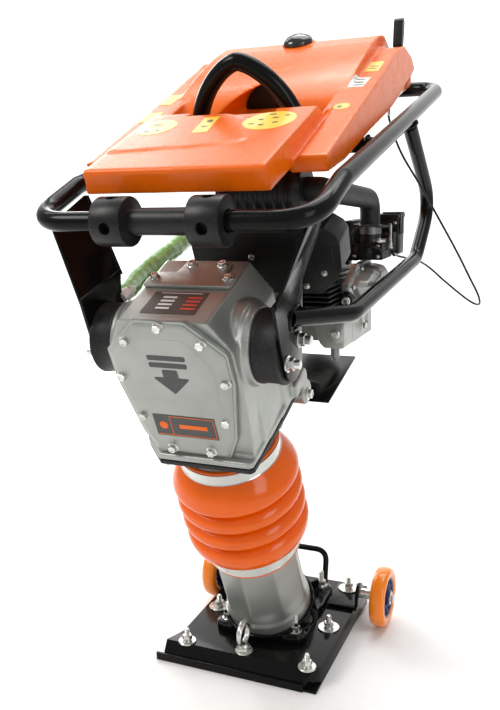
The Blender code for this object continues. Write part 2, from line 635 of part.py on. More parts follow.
def make_engine(world, leg):
    case_y = -0.078
    bell = turned("clutch_housing", ((0.046, CASE_REAR + 0.0073), (0.058, CASE_REAR + 0.0073), (0.058, 0.26),
                                     (0.046, 0.26)), cast(), leg, "y", (0.0, 0.0, PINION_Z), 32)
    carve(bell, [box("rear", (-0.2, case_y - GAP, 0.3), (0.2, 0.5, 1.0), cast(), world)])

    block = box("engine_block", (-0.095, -0.020, 0.593), (0.163, 0.105, 0.640), cast(), world,
                (0.0, 0.0, 0.593), 0.006)
    front = box("front", (0.108, case_y, 0.593), (0.163, 0.0, 0.640), cast(), world, bevel=0.006)
    rear = box("rear", (-0.095, case_y, 0.593), (0.060, 0.215, 0.640), cast(), world, bevel=0.006)
    upper = box("upper", (-0.090, case_y, 0.630), (0.020, 0.190, 0.722), cast(), world, bevel=0.004)
    carve(block, [front, rear, upper], "UNION")
    comb = []
    for i in range(6):
        low = 0.6475 + i * 0.012
        comb += [(0.060, low), (HEAD_X - GAP, low), (HEAD_X - GAP, low + 0.004), (0.060, low + 0.004)]
    comb += [(0.060, 0.7215), (0.0203, 0.7215), (0.0203, 0.6403)]
    prism("engine_cylinder", comb, "y", case_y + 0.006, 0.110, plastic(), world, (0.02, 0.0, 0.680))
    box("valve_cover", (HEAD_X, 0.000, 0.646), (0.186, 0.195, 0.722), cast(), world, (HEAD_X, 0.1, 0.680),
        0.010)
    outline = ((-0.060, 0.690), (0.166, 0.690), (0.186, 0.716), (0.190, 0.776), (0.176, 0.802),
               (0.150, 0.815), (-0.060, 0.815))
    shroud = prism("engine_shroud", outline, "y", 0.140, 0.193, plastic(), leg, (0.0, 0.140, 0.690), 0.004)
    carve(shroud, [disc("notch", "y", (0.0, PINION_Z), 0.0585, 0.10, 0.22, plastic(), leg, count=32)])
    box("carburettor", (0.120, 0.085, 0.7235), (CARB_X, 0.168, 0.775), plastic(), world, (0.15, 0.13, 0.74),
        0.006)
    lever_x = CARB_X + GAP
    pivot = (lever_x, 0.125, 0.752)
    lever = disc("choke_lever", "x", pivot[1:], 0.007, lever_x, lever_x + 0.004, steel(), world, pivot, 16)
    stick = box("stick", (lever_x, 0.121, 0.752), (lever_x + 0.004, 0.129, 0.790), steel(), world)
    carve(lever, [stick], "UNION")
    hose = rounded_path(((0.1385, 0.176, 0.862), (0.158, 0.176, 0.862), (0.158, 0.436, 0.7213),
                         (0.158, 0.412, 0.6668)), 0.036, 6)
    tube("intake_elbow", hose, 0.0185, rubber(), leg, hose[-1])
    turned("starter_housing", ((0.012, 0.2155), (0.078, 0.2155), (0.086, 0.2250), (0.080, 0.2550),
                               (0.030, 0.2620),
                               (0.012, 0.2620)), plastic(), world, "y", (0.0, 0.0, 0.660), 36)
    grip = box("starter_grip", (0.030, 0.2660, 0.696), (0.074, 0.2860, 0.710), plastic(), world,
               (0.052, 0.270, 0.703),
               0.003)
    rope = disc("rope", "y", (0.052, 0.703), 0.0022, 0.2640, 0.268, plastic(), world, count=8)
    carve(grip, [rope], "UNION")
    muffler = box("muffler", (-0.190, -0.020, 0.628), (-0.1153, 0.150, 0.722),
                  material("muffler_black", (0.03, 0.03, 0.03), 0.6),
        world, (-0.15, 0.06, 0.67), 0.012)
    carve(muffler, [box("pipe", (-0.125, 0.040, 0.655), (-0.0903, 0.090, 0.695), steel(), world)], "UNION")


def make_skid(world, leg):
    """Guard plate under the engine, held by two arms on the crankcase's rear lugs."""
    slab = ((0.174, 0.4480), (0.355, 0.4180), (0.356, 0.4222), (0.175, 0.4522))
    plate = prism("skid_plate", slab, "x", -0.1180, 0.1180, black(), leg, (0.0, 0.092, 0.556))
    arms = []
    for side in (-1, 1):
        x0, x1 = sorted((side * 0.1127, side * 0.1175))
        arm = ((0.078, 0.545), (0.106, 0.545), (0.180, 0.4495), (0.240, 0.4395), (0.106, 0.572),
               (0.078, 0.572))
        arms.append(prism("arm", arm, "x", x0, x1, black(), leg))
    carve(plate, arms, "UNION")


# ---------------------------------------------------------------- handle

def side_z(y):
    """Height of the loop's side run at y, behind its knee."""
    share = (y - LOOP_KNEE_Y) / (LOOP_REAR_Y - LOOP_KNEE_Y)
    return LOOP_KNEE_Z + share * (LOOP_REAR_Z - LOOP_KNEE_Z)


def make_loop(leg):
    half = [(LOOP_X, LOOP_Y0, LOOP_Z0), (LOOP_X, LOOP_KNEE_Y, LOOP_KNEE_Z),
            (LOOP_X, LOOP_REAR_Y, LOOP_REAR_Z)]
    corners = half + [(-x, y, z) for x, y, z in reversed(half)]
    path = closed_path(corners, 0.066, 5)
    tube("handle_loop", path, TUBE_R, black(), leg, (0.0, LOOP_Y0, LOOP_Z0), cyclic=True)
    bar_z = side_z(BAIL_Y)
    bar = ((-LOOP_X + TUBE_R + 0.0012, BAIL_Y, bar_z), (LOOP_X - TUBE_R - 0.0012, BAIL_Y, bar_z))
    tube("tank_crossbar", bar, 0.012, black(), leg, (0.0, BAIL_Y, bar_z))


def make_plate(leg, side, name):
    """Folded side plate from the rubber mount up to the loop."""
    thick = 0.005
    x_low = side * PLATE_X
    bottom = [(MOUNT_Y + 0.036 * math.cos(math.radians(a)), 0.695 + 0.036 * math.sin(math.radians(a)))
              for a in range(180, 361, 30)]
    lower = bottom + [(0.040, 0.740), (0.062, 0.786), (-0.056, 0.800), (-0.060, 0.730)]
    ends = sorted((x_low, x_low + side * thick))
    plate = prism("support_plate_" + name, lower, "x", ends[0], ends[1], black(), leg,
                  (x_low, MOUNT_Y, MOUNT_Z))
    top_z = LOOP_KNEE_Z - TUBE_R - 0.0012
    bm = bmesh.new()
    rows = (((-0.0565, 0.792), (0.0615, 0.778), 0.0), ((-0.004, top_z), (0.098, top_z), 0.047))
    verts = []
    for (front, rear, out) in rows:
        for y, z in (front, rear):
            for depth in (0.0, thick):
                verts.append(bm.verts.new((x_low + side * (out + depth), y, z)))
    quads = ((0, 2, 6, 4), (1, 5, 7, 3), (0, 4, 5, 1), (2, 3, 7, 6), (0, 1, 3, 2), (4, 6, 7, 5))
    for quad in quads:
        bm.faces.new([verts[i] for i in quad])
    upper = place("upper", bm, black(), leg)
    carve(plate, [upper], "UNION")


def make_guard(leg, side, name, route):
    """Bent guard tube from the side plate, round the engine and up to the loop."""
    top_y = 0.545
    top = (LOOP_X, top_y, side_z(top_y) - TUBE_R - 0.0158)
    points = [(side * x, y, z) for x, y, z in list(route) + [top]]
    guard = solid_tube("guard_tube_" + name, rounded_path(points, 0.085, 5), 0.0135, black(), leg, points[0])
    face = side * (PLATE_X + 0.005 + GAP)
    ends = sorted((face, side * 0.05))
    carve(guard, [box("weld_face", (ends[0], -0.1, 0.6), (ends[1], 0.1, 0.9), black(), leg)])


RIGHT_GUARD = ((0.1500, -0.003, 0.748), (0.205, 0.115, 0.683), (0.217, 0.500, 0.562), (0.217, 0.668, 0.600))
LEFT_GUARD = ((0.1500, -0.010, 0.746), (0.190, 0.160, 0.712), (0.217, 0.520, 0.640), (0.217, 0.650, 0.680))


def make_roller(leg):
    """Spool that turns on the loop's front tube: a sleeve and two bored collars."""
    bore = TUBE_R + 0.0008
    center = (0.0, LOOP_Y0, LOOP_Z0)
    half = [(0.0190, 0.0485), (0.0325, 0.0485), (0.0350, 0.0507), (0.0350, 0.0960), (0.0325, 0.0982),
            (bore, 0.0982)]
    spool = [(radius, -x) for radius, x in reversed(half)] + half
    roller = turned("handle_roller", spool, plastic(), leg, "x", center, 28)
    holes = []
    for x in (-0.0735, 0.0735):
        for tilt in (-10.0, 80.0):
            hole = disc("hole", "z", (0.0, 0.0), 0.0085, 0.020, 0.05, plastic(), leg, count=16)
            hole.matrix_local = (Matrix.Translation((x, LOOP_Y0, LOOP_Z0))
                                 @ Matrix.Rotation(math.radians(tilt), 4, "X"))
            holes.append(hole)
    carve(roller, holes)


# ---------------------------------------------------------------- tank

def barrel_front():
    """Convex line from the recess floor up to the crest of the tank's barrel."""
    start_y, start_z = 0.338, 0.905
    crest_y = 0.575
    points = []
    for i in range(7):
        t = math.radians(15 * i)
        points.append((crest_y - (crest_y - start_y) * math.cos(t),
                       start_z + (CREST_Z - start_z) * math.sin(t)))
    return points


def make_tank(leg):
    side = [(0.027, 0.928), (0.027, DECK_Z - 0.004), (0.032, DECK_Z), (0.268, DECK_Z - 0.008), (0.281, 0.946),
            (0.284, 0.905)]
    rear = [(0.650, 0.950), (0.690, 0.915), (0.705, 0.862), (0.690, 0.832), (0.500, 0.862)]
    side += barrel_front() + rear
    side += [(0.345, 0.889), (0.286, 0.894), (0.240, 0.914)]
    tank = prism("fuel_tank", side, "x", -DECK_X, DECK_X, orange(), leg, (0.0, BAIL_Y, 0.905), 0.0)
    arm = ((0.117, 0.914), (0.121, 0.937), (0.600, 0.941), (0.660, 0.922), (0.705, 0.880), (0.722, 0.842),
           (0.712, 0.833), (0.529, 0.860), (0.349, 0.883), (0.199, 0.897))
    tools = [prism("barrel", barrel_front() + rear, "x", -BARREL_X, BARREL_X, orange(), leg)]
    for sign in (-1, 1):
        ends = sorted((sign * (DECK_X - 0.004), sign * ARM_X1))
        tools.append(prism("arm", arm, "x", ends[0], ends[1], orange(), leg, bevel=0.004))
    carve(tank, tools, "UNION")
    cuts = []
    for sign in (-1, 1):
        cuts.append(disc("leg_hole", "z", (sign * BAIL_X, BAIL_Y), 0.0163, 0.85, 0.93, orange(), leg,
                         count=24))
    cuts.append(disc("arch", "y", (0.0, 0.900), 0.056, 0.30, 0.470, orange(), leg, count=32))
    slot = box("slot", (0.164, 0.628, 0.880), (0.184, 0.700, 1.0), orange(), leg)
    cuts.append(slot)
    carve(tank, cuts)
    room = ((0.482, 0.870), (0.680, 0.846), (0.690, 0.895), (0.655, 0.940), (0.575, 0.950), (0.482, 0.945))
    space = prism("fuel_space", room, "x", -0.138, 0.138, orange(), leg)
    neck = disc("neck", "z", (0.0, CAP_Y), 0.0185, CREST_Z - 0.030, 1.0, orange(), leg, count=24)
    carve(tank, [space, neck])

    cap_z = CREST_Z + 0.0008
    cap = disc("fuel_cap", "z", (0.0, CAP_Y), CAP_R, cap_z, cap_z + 0.017, plastic(), leg,
               (0.0, CAP_Y, cap_z), 28, 0.005)
    plug = disc("plug", "z", (0.0, CAP_Y), 0.0178, cap_z - 0.010, cap_z + 0.004, plastic(), leg, count=24)
    carve(cap, [plug], "UNION")

    arch = [(-BAIL_X, BAIL_Y, side_z(BAIL_Y) + 0.0125)]
    for step in range(9):
        angle = math.pi / 2 * (step / 4 - 1)
        across = math.copysign(abs(math.sin(angle)) ** BAIL_POINT, angle)
        rise = max(math.cos(angle), 0.0) ** BAIL_POINT
        arch.append((BAIL_X * across, BAIL_Y, BAIL_SPRING_Z + (BAIL_Z - BAIL_SPRING_Z) * rise))
    arch.append((BAIL_X, BAIL_Y, arch[0][2]))
    tube("lifting_bail", smooth_path(arch, 3), 0.0145, black(), leg, (0.0, BAIL_Y, BAIL_SPRING_Z))


VALVE = (0.060, 0.360)


def make_controls(leg):
    pivot = (0.174, 0.648, 0.893)
    lever = disc("throttle_lever", "x", (pivot[1], pivot[2]), 0.009, 0.1680, 0.1800, plastic(), leg, pivot,
                 16)
    stem = prism("stem", ((0.642, 0.895), (0.654, 0.890), (0.684, 0.923), (0.675, 0.930)), "x", 0.170, 0.178,
                 plastic(),
                 leg)
    grip = prism("grip", ((0.669, 0.924), (0.680, 0.916), (0.709, 0.955), (0.704, 0.964), (0.695, 0.962)),
                 "x", 0.1630,
                 0.1830, plastic(), leg, bevel=0.003)
    carve(lever, [stem, grip], "UNION")
    valve = disc("fuel_valve", "z", VALVE, 0.009, 0.868, 0.8840, plastic(), leg, (*VALVE, 0.876), 16)
    tab = box("tab", (VALVE[0] - 0.028, VALVE[1] - 0.004, 0.868), (VALVE[0], VALVE[1] + 0.004, 0.873),
              plastic(), leg)
    carve(valve, [tab], "UNION")


def make_filter(leg):
    center = (0.0, 0.176, 0.862)
    ribs = [(0.012, 0.004)]
    for i in range(4):
        x = 0.006 + 0.032 * i
        ribs += [(0.040, x + 0.001), (0.043, x + 0.005), (0.043, x + 0.023), (0.040, x + 0.027)]
    ribs += [(0.036, 0.138), (0.012, 0.138)]
    turned("air_filter", ribs, plastic(), leg, "x", center, 24)


CABLE = ((0.1740, 0.560, 0.8545), (0.1760, 0.556, 0.820), (0.1930, 0.552, 0.761), (0.2220, 0.554, 0.697),
         (0.2550, 0.556, 0.622), (0.2880, 0.556, 0.546), (0.3100, 0.557, 0.489), (0.3260, 0.561, 0.443),
         (0.3240, 0.575, 0.413), (0.3000, 0.592, 0.412), (0.2540, 0.601, 0.449), (0.2250, 0.591, 0.488),
         (0.2100, 0.559, 0.523), (0.2010, 0.513, 0.555), (0.1990, 0.457, 0.590), (0.1975, 0.412, 0.620))


def make_cable(leg):
    tube("throttle_cable", smooth_path(CABLE, 4), 0.0022, plastic(), leg, CABLE[0], resolution=1)


def make_film(leg):
    """Protective film wrapped round the left guard tube."""
    start, knee, end = [Vector((-x, y, z)) for x, y, z in LEFT_GUARD[:3]]
    path = [knee.lerp(end, 0.10), knee.lerp(end, 0.55)]
    shell = solid_tube("guard_film", path, 0.0178, material("green_film", (0.45, 0.75, 0.40), 0.3), leg,
                       path[0])
    core = solid_tube("core", [knee.lerp(end, 0.02), knee.lerp(end, 0.65)], 0.0139, plastic(), leg)
    carve(shell, [core])


def build():
    clear_scene()
    world = frame_empty("shoe_frame", 0.0)
    leg = frame_empty("leg_frame", LEAN)
    make_shoe(world)
    make_flange(world, leg)
    make_eye_bolt(world)
    make_rail(world)
    make_wheel(world, -1, "left")
    make_wheel(world, 1, "right")
    make_leg(leg)
    make_crankcase(leg)
    make_drive(leg)
    make_mounts(leg)
    make_engine(world, leg)
    make_skid(world, leg)
    make_loop(leg)
    make_plate(leg, -1, "left")
    make_plate(leg, 1, "right")
    make_guard(leg, 1, "right", RIGHT_GUARD)
    make_guard(leg, -1, "left", LEFT_GUARD)
    make_roller(leg)
    make_tank(leg)
    make_controls(leg)
    make_filter(leg)
    make_cable(leg)
    make_film(leg)


build()
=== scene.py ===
"""Looks of the jumping jack rammer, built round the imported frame.

Everything is in metres in the frame's own axes. Most pieces are drawn in the leg frame, which
leans forward about X: its z runs up the leg and its y to the rear.
"""
import math
import random

import bmesh
import bpy
from mathutils import Matrix, Vector


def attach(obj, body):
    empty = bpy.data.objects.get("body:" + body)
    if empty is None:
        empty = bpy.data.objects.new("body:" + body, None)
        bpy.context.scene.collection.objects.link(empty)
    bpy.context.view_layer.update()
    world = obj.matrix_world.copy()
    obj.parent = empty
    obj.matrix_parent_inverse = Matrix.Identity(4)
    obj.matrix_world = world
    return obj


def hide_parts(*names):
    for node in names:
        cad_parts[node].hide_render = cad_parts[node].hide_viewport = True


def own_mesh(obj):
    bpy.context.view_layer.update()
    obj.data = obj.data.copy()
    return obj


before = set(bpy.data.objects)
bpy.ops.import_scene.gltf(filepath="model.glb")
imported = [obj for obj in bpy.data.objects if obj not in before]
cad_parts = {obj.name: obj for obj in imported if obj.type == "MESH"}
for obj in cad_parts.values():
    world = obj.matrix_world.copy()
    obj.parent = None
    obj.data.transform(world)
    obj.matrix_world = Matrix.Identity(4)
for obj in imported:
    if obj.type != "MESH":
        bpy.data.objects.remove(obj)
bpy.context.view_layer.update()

LEAN = math.radians(23.8)
LEG = Matrix.Rotation(LEAN, 4, "X")
GROUND = Matrix.Identity(4)
UP_LEG = LEG @ Vector((0.0, 0.0, 1.0))
random.seed(7)

# axes, and the small gap that the frame keeps between its nodes
X = (1, 0, 0)
Y = (0, 1, 0)
Z = (0, 0, 1)
FRONT = (0, -1, 0)
DOWN = (0, 0, -1)
GAP = 0.0003

# dimensions shared with the frame
TUBE_R = 0.0148
GUARD_R = 0.0135
GUARD_BEND = 0.085
LOOP_X = 0.217
LOOP_Y0 = -0.021
LOOP_Z0 = 0.9095
LOOP_KNEE_Y = 0.11
LOOP_KNEE_Z = 0.907
LOOP_REAR_Y = 0.84
LOOP_REAR_Z = 0.783
BAIL_X = 0.087
BAIL_Y = 0.316
BAIL_SPRING_Z = 0.9135
BAIL_Z = 1.0185
BAIL_POINT = 1.29               # above 1, the arch of the bail comes to a blunt point
DECK_X = 0.144
ARM_X = 0.196
DECK_Z = 0.965
BARREL_X = 0.156
CREST_Z = 0.961
CAP_Y = 0.61
CAP_R = 0.0285
CASE_Z0 = 0.546
CASE_Z1 = 0.795
CASE_HALF_W = 0.1
CASE_FRONT = -0.095
CASE_MID = -0.058
CASE_REAR = 0.075
MOUNT_Y = -0.022
MOUNT_Z = 0.712
PLATE_X = 0.15
CLUTCH_Z = 0.69075
WHEELS = {"left": -0.1655, "right": 0.193}
WHEEL_Y = 0.087
WHEEL_Z = 0.0602
BOARD_TOP = 0.035
CABLE_D = 0.0044
CABLE = ((0.174, 0.56, 0.8545), (0.176, 0.556, 0.82), (0.193, 0.552, 0.761), (0.222, 0.554, 0.697),
         (0.255, 0.556, 0.622), (0.288, 0.556, 0.546), (0.31, 0.557, 0.489), (0.326, 0.561, 0.443),
         (0.324, 0.575, 0.413), (0.3, 0.592, 0.412), (0.254, 0.601, 0.449), (0.225, 0.591, 0.488),
         (0.21, 0.559, 0.523), (0.201, 0.513, 0.555), (0.199, 0.457, 0.59), (0.1975, 0.412, 0.62))


# ---------------------------------------------------------------- camera

def make_camera():
    """Eye-level three-quarter view of the front, a little above the machine and tipped down."""
    yaw = math.radians(23.224)
    pitch = math.radians(12.199)
    roll = math.radians(-1.506)
    forward = Vector((-math.sin(yaw) * math.cos(pitch), math.cos(yaw) * math.cos(pitch), -math.sin(pitch)))
    level = Vector((math.cos(yaw), math.sin(yaw), 0.0))
    above = level.cross(forward)
    right = math.cos(roll) * level + math.sin(roll) * above
    up = -math.sin(roll) * level + math.cos(roll) * above
    data = bpy.data.cameras.new("camera")
    data.lens = 41.31
    data.sensor_width = 36.0
    camera = bpy.data.objects.new("camera", data)
    matrix = Matrix((right, up, -forward)).transposed().to_4x4()
    matrix.translation = (0.5457, -1.3704, 0.8772)
    camera.matrix_world = matrix
    bpy.context.scene.collection.objects.link(camera)
    bpy.context.scene.camera = camera


# ---------------------------------------------------------------- materials

def finish(name, color, rough, metallic=0.0, coat=0.0, coat_rough=0.1, grain=0.1, grain_scale=900.0, mottle=0.08,
           mottle_scale=18.0, rough_span=0.08, dust=0.0, dust_color=(0.55, 0.52, 0.48), shine=0.5):
    """A finish with fine surface grain, cloudy colour, uneven gloss and, where asked for, fine dust."""
    mat = bpy.data.materials.new(name)
    mat.use_nodes = True
    nodes = mat.node_tree.nodes
    link = mat.node_tree.links.new

    def node(kind, **values):
        made = nodes.new("ShaderNode" + kind)
        for key, value in values.items():
            made.inputs[key.replace("_", " ")].default_value = value
        return made

    def noise(scale, detail):
        made = node("TexNoise", Scale=scale, Detail=detail)
        link(where.outputs["Object"], made.inputs["Vector"])
        return made.outputs["Fac"]

    shader = nodes["Principled BSDF"]
    for socket, value in (("Metallic", metallic), ("Coat Weight", coat), ("Coat Roughness", coat_rough),
                          ("Specular IOR Level", shine)):
        shader.inputs[socket].default_value = value
    where = nodes.new("ShaderNodeTexCoord")
    ramp = nodes.new("ShaderNodeValToRGB")
    for stop, position, share in zip(ramp.color_ramp.elements, (0.3, 0.7), (1.0 - mottle, 1.0 + mottle)):
        stop.position = position
        stop.color = (*[min(c * share, 1.0) for c in color], 1.0)
    link(noise(mottle_scale, 6.0), ramp.inputs["Fac"])
    gloss = node("MapRange", To_Min=max(rough - rough_span, 0.02), To_Max=min(rough + rough_span, 1.0))
    link(noise(mottle_scale * 3.1, 4.0), gloss.inputs["Value"])
    link(gloss.outputs["Result"], shader.inputs["Roughness"])
    bump = node("Bump", Strength=grain, Distance=0.0006)
    link(noise(grain_scale, 3.0), bump.inputs["Height"])
    link(bump.outputs["Normal"], shader.inputs["Normal"])
    shade = ramp.outputs["Color"]
    if dust:
        cut = node("MapRange", From_Min=0.58, From_Max=0.74, To_Max=dust)
        link(noise(260.0, 5.0), cut.inputs["Value"])
        mix = nodes.new("ShaderNodeMix")
        mix.data_type = "RGBA"
        factor, base, speck = mix.inputs[0], mix.inputs[6], mix.inputs[7]
        speck.default_value = (*dust_color, 1.0)
        link(cut.outputs["Result"], factor)
        link(shade, base)
        shade = mix.outputs[2]
    link(shade, shader.inputs["Base Color"])
    return mat


M = {
    "black_paint": finish("black_enamel", (0.003, 0.0036, 0.003), 0.17, coat=0.03, coat_rough=0.05, grain=0.06,
                          grain_scale=350.0, mottle=0.15, dust=0.008, rough_span=0.04, shine=0.13),
    "zinc_steel": finish("zinc_plate", (0.66, 0.66, 0.63), 0.27, metallic=1.0, grain=0.15, mottle=0.14,
                         mottle_scale=60.0, rough_span=0.12),
    "cast_aluminium": finish("silver_casting", (0.36, 0.37, 0.345), 0.36, metallic=0.7, grain=0.28, grain_scale=700.0,
                             mottle=0.07, rough_span=0.1, dust=0.1, dust_color=(0.3, 0.27, 0.24)),
    "orange_plastic": finish("orange_moulding", (0.8, 0.13, 0.001), 0.27, coat=0.08, coat_rough=0.12, grain=0.05,
                             mottle=0.05, mottle_scale=9.0, shine=0.28),
    "orange_bellows": finish("orange_urethane", (0.8, 0.115, 0.001), 0.14, coat=0.12, coat_rough=0.04, grain=0.03,
                             grain_scale=300.0, mottle=0.06, mottle_scale=14.0, rough_span=0.05, shine=0.32),
    "black_rubber": finish("black_rubber", (0.008, 0.008, 0.008), 0.5, grain=0.22, mottle=0.2, dust=0.04, shine=0.3),
    "black_plastic": finish("black_moulding", (0.007, 0.007, 0.007), 0.36, grain=0.2, grain_scale=1100.0, mottle=0.15,
                            dust=0.03, shine=0.3),
    "blue_plastic": finish("blue_hub", (0.022, 0.028, 0.115), 0.3, coat=0.2, grain=0.08, mottle=0.12, dust=0.08),
    "orange_tyre": finish("orange_tread", (0.92, 0.23, 0.006), 0.2, coat=0.15, coat_rough=0.08, grain=0.05,
                          mottle=0.06, dust=0.06),
    "muffler_black": finish("hot_black", (0.022, 0.021, 0.02), 0.62, grain=0.35, mottle=0.2, dust=0.18,
                            dust_color=(0.16, 0.1, 0.07)),
    "green_film": finish("green_wrap", (0.2, 0.58, 0.1), 0.22, coat=0.4, coat_rough=0.06, grain=0.2,
                         grain_scale=70.0, mottle=0.22, mottle_scale=45.0),
}
DECAL_YELLOW = finish("decal_yellow", (0.9, 0.58, 0.03), 0.32, coat=0.4, grain=0.03, mottle=0.04)
DECAL_DARK = finish("decal_dark", (0.035, 0.038, 0.036), 0.38, coat=0.2, grain=0.05, mottle=0.1)
DECAL_PALE = finish("decal_pale", (0.72, 0.71, 0.68), 0.35, coat=0.3, grain=0.03, mottle=0.05)
DECAL_RED = finish("decal_red", (0.55, 0.05, 0.03), 0.35, coat=0.3, grain=0.03, mottle=0.05)
CAP_FINISH = finish("cap_gloss", (0.03, 0.031, 0.03), 0.16, metallic=0.6, coat=0.6, coat_rough=0.05, grain=0.03)
CLAMP_FINISH = finish("clamp_steel", (0.6, 0.61, 0.58), 0.2, metallic=1.0, grain=0.05, mottle=0.05, dust=0.0)
BAND_FINISH = finish("band_steel", (0.2, 0.21, 0.215), 0.34, metallic=0.9, grain=0.2, mottle=0.2)
FLOOR_FINISH = finish("floor_white", (0.86, 0.86, 0.85), 0.55, grain=0.02, mottle=0.01)


# ---------------------------------------------------------------- mesh tools

def solid(name, bm, space=LEG):
    """Turn bm, drawn in the given space, into an object at the origin."""
    bmesh.ops.recalc_face_normals(bm, faces=bm.faces)
    mesh = bpy.data.meshes.new(name)
    bm.to_mesh(mesh)
    bm.free()
    mesh.transform(space)
    obj = bpy.data.objects.new(name, mesh)
    bpy.context.scene.collection.objects.link(obj)
    return obj


def bake(obj):
    """Apply the modifiers and shade smooth between edges of less than 32 degrees."""
    bpy.context.view_layer.update()
    graph = bpy.context.evaluated_depsgraph_get()
    mesh = bpy.data.meshes.new_from_object(obj.evaluated_get(graph))
    mesh.name = obj.name
    obj.modifiers.clear()
    obj.data = mesh
    mesh.shade_smooth()
    mesh.set_sharp_from_angle(angle=math.radians(32))
    return obj


def carve(obj, tools, operation="DIFFERENCE"):
    for tool in tools:
        mod = obj.modifiers.new("carve", "BOOLEAN")
        mod.object = tool
        mod.operation = operation
        mod.solver = "EXACT"
    bake(obj)
    for tool in tools:
        bpy.data.objects.remove(tool, do_unlink=True)
    return obj


def soften(obj, width, segments=3, angle=32):
    """Round the edges that are sharper than the angle."""
    mod = obj.modifiers.new("soften", "BEVEL")
    mod.width = width
    mod.segments = segments
    mod.limit_method = "ANGLE"
    mod.angle_limit = math.radians(angle)
    mod.harden_normals = False
    return bake(obj)


def moulded(obj, voxel, rounds):
    """Remesh a block of joined solids and relax it, so that its edges and corners get fillets."""
    mod = obj.modifiers.new("remesh", "REMESH")
    mod.mode = "VOXEL"
    mod.voxel_size = voxel
    bake(obj)
    mod = obj.modifiers.new("relax", "SMOOTH")
    mod.factor = 0.5
    mod.iterations = rounds
    return bake(obj)


def dress(obj, body, slot_name, *nodes, mat=None):
    """Give the piece its finish, taken by slot name unless a material is given, and its body, and let it stand for
    CAD nodes.
    """
    obj.data.materials.clear()
    obj.data.materials.append(mat or M[slot_name])
    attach(obj, body)
    if nodes:
        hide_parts(*nodes)
    return obj


def piece(name, bm, space, body, slot_name, *nodes, mat=None):
    """A piece straight from a mesh, with nothing cut from it."""
    return dress(bake(solid(name, bm, space)), body, slot_name, *nodes, mat=mat)


def skin(bm, rings, caps=True):
    """Join rings of equally many vertices with quads, and close both ends."""
    if caps:
        bm.faces.new(rings[0][::-1])
        bm.faces.new(rings[-1])
    for low, high in zip(rings, rings[1:]):
        for i in range(len(low)):
            j = (i + 1) % len(low)
            bm.faces.new((low[i], low[j], high[j], high[i]))
    return bm


def loft(sections):
    """A closed solid through outlines given as lists of points."""
    bm = bmesh.new()
    return skin(bm, [[bm.verts.new(point) for point in section] for section in sections])


def prism(outline, axis, low, high):
    """Extrude a closed outline along x, y or z; its points are the other two axes in order."""
    place = {"x": lambda level, a, b: (level, a, b), "y": lambda level, a, b: (a, level, b),
             "z": lambda level, a, b: (a, b, level)}[axis]
    return loft([[place(level, a, b) for a, b in outline] for level in (low, high)])


def block(low, high):
    return prism(((low[0], low[1]), (high[0], low[1]), (high[0], high[1]), (low[0], high[1])), "z", low[2], high[2])


def box(name, low, high, space=GROUND):
    return solid(name, block(low, high), space)


def fanned(name, low, high, count, pivot, axis, space=GROUND):
    """Blocks set at equal angles round an axis through the pivot."""
    turns = [Matrix.Rotation(2 * math.pi * i / count, 4, axis) for i in range(count)]
    return [box(name, low, high, space @ Matrix.Translation(pivot) @ turn) for turn in turns]


def circle(radius, count, center=(0.0, 0.0), phase=0.0):
    return [(center[0] + radius * math.cos(phase + 2 * math.pi * i / count),
             center[1] + radius * math.sin(phase + 2 * math.pi * i / count)) for i in range(count)]


def mirrored(right):
    """An outline from its right half."""
    return list(right) + [(-x, z) for x, z in reversed(right)]


def box_outline(x, z, half_x, half_z):
    return ((x - half_x, z - half_z), (x + half_x, z - half_z), (x + half_x, z + half_z), (x - half_x, z + half_z))


def bend(before, corner, after, radius, share, steps):
    """Points of an arc that rounds a corner and takes at most that share of each leg."""
    before, corner, after = Vector(before), Vector(corner), Vector(after)
    back = before - corner
    ahead = after - corner
    turn = math.pi - back.angle(ahead)
    reach = min(radius * math.tan(turn / 2), share * back.length, share * ahead.length)
    start = corner + back.normalized() * reach
    end = corner + ahead.normalized() * reach
    return [start.lerp(corner, k / steps).lerp(corner.lerp(end, k / steps), k / steps) for k in range(steps + 1)]


def rounded(outline, radius, steps=5):
    """The outline with an arc at each corner."""
    points = []
    for i, corner in enumerate(outline):
        arc = bend(outline[i - 1], corner, outline[(i + 1) % len(outline)], radius, 0.45, steps)
        points += [(point.x, point.y) for point in arc]
    return points


def rounded_path(points, radius, steps=10):
    """Straight runs through the points with an arc at each inner corner."""
    path = [Vector(points[0])]
    for before, corner, after in zip(points, points[1:], points[2:]):
        path += bend(before, corner, after, radius, 0.48, steps)
    return path + [Vector(points[-1])]


def smooth_path(points, per_span=6):
    """Catmull-Rom curve through the points."""
    knots = [Vector(p) for p in points]
    knots = [2 * knots[0] - knots[1]] + knots + [2 * knots[-1] - knots[-2]]
    path = []
    for a, b, c, d in zip(knots, knots[1:], knots[2:], knots[3:]):
        for i in range(per_span):
            t = i / per_span
            path.append(0.5 * (2 * b + (c - a) * t + (2 * a - 5 * b + 4 * c - d) * t * t
                               + (3 * b - a - 3 * c + d) * t ** 3))
    path.append(knots[-2])
    return path


def ring(profile, axis="z", center=(0.0, 0.0, 0.0), count=96, shape=None):
    """Turn a closed (radius, height) profile that stays off its axis; shape may vary the radius."""
    bm = bmesh.new()
    rings = []
    for i in range(count):
        angle = 2 * math.pi * i / count
        verts = []
        for radius, height in profile:
            if shape:
                radius = shape(radius, height, angle)
            u = radius * math.cos(angle)
            v = radius * math.sin(angle)
            local = {"x": (height, u, v), "y": (u, height, v), "z": (u, v, height)}[axis]
            verts.append(bm.verts.new(Vector(local) + Vector(center)))
        rings.append(verts)
    return skin(bm, rings + rings[:1], caps=False)


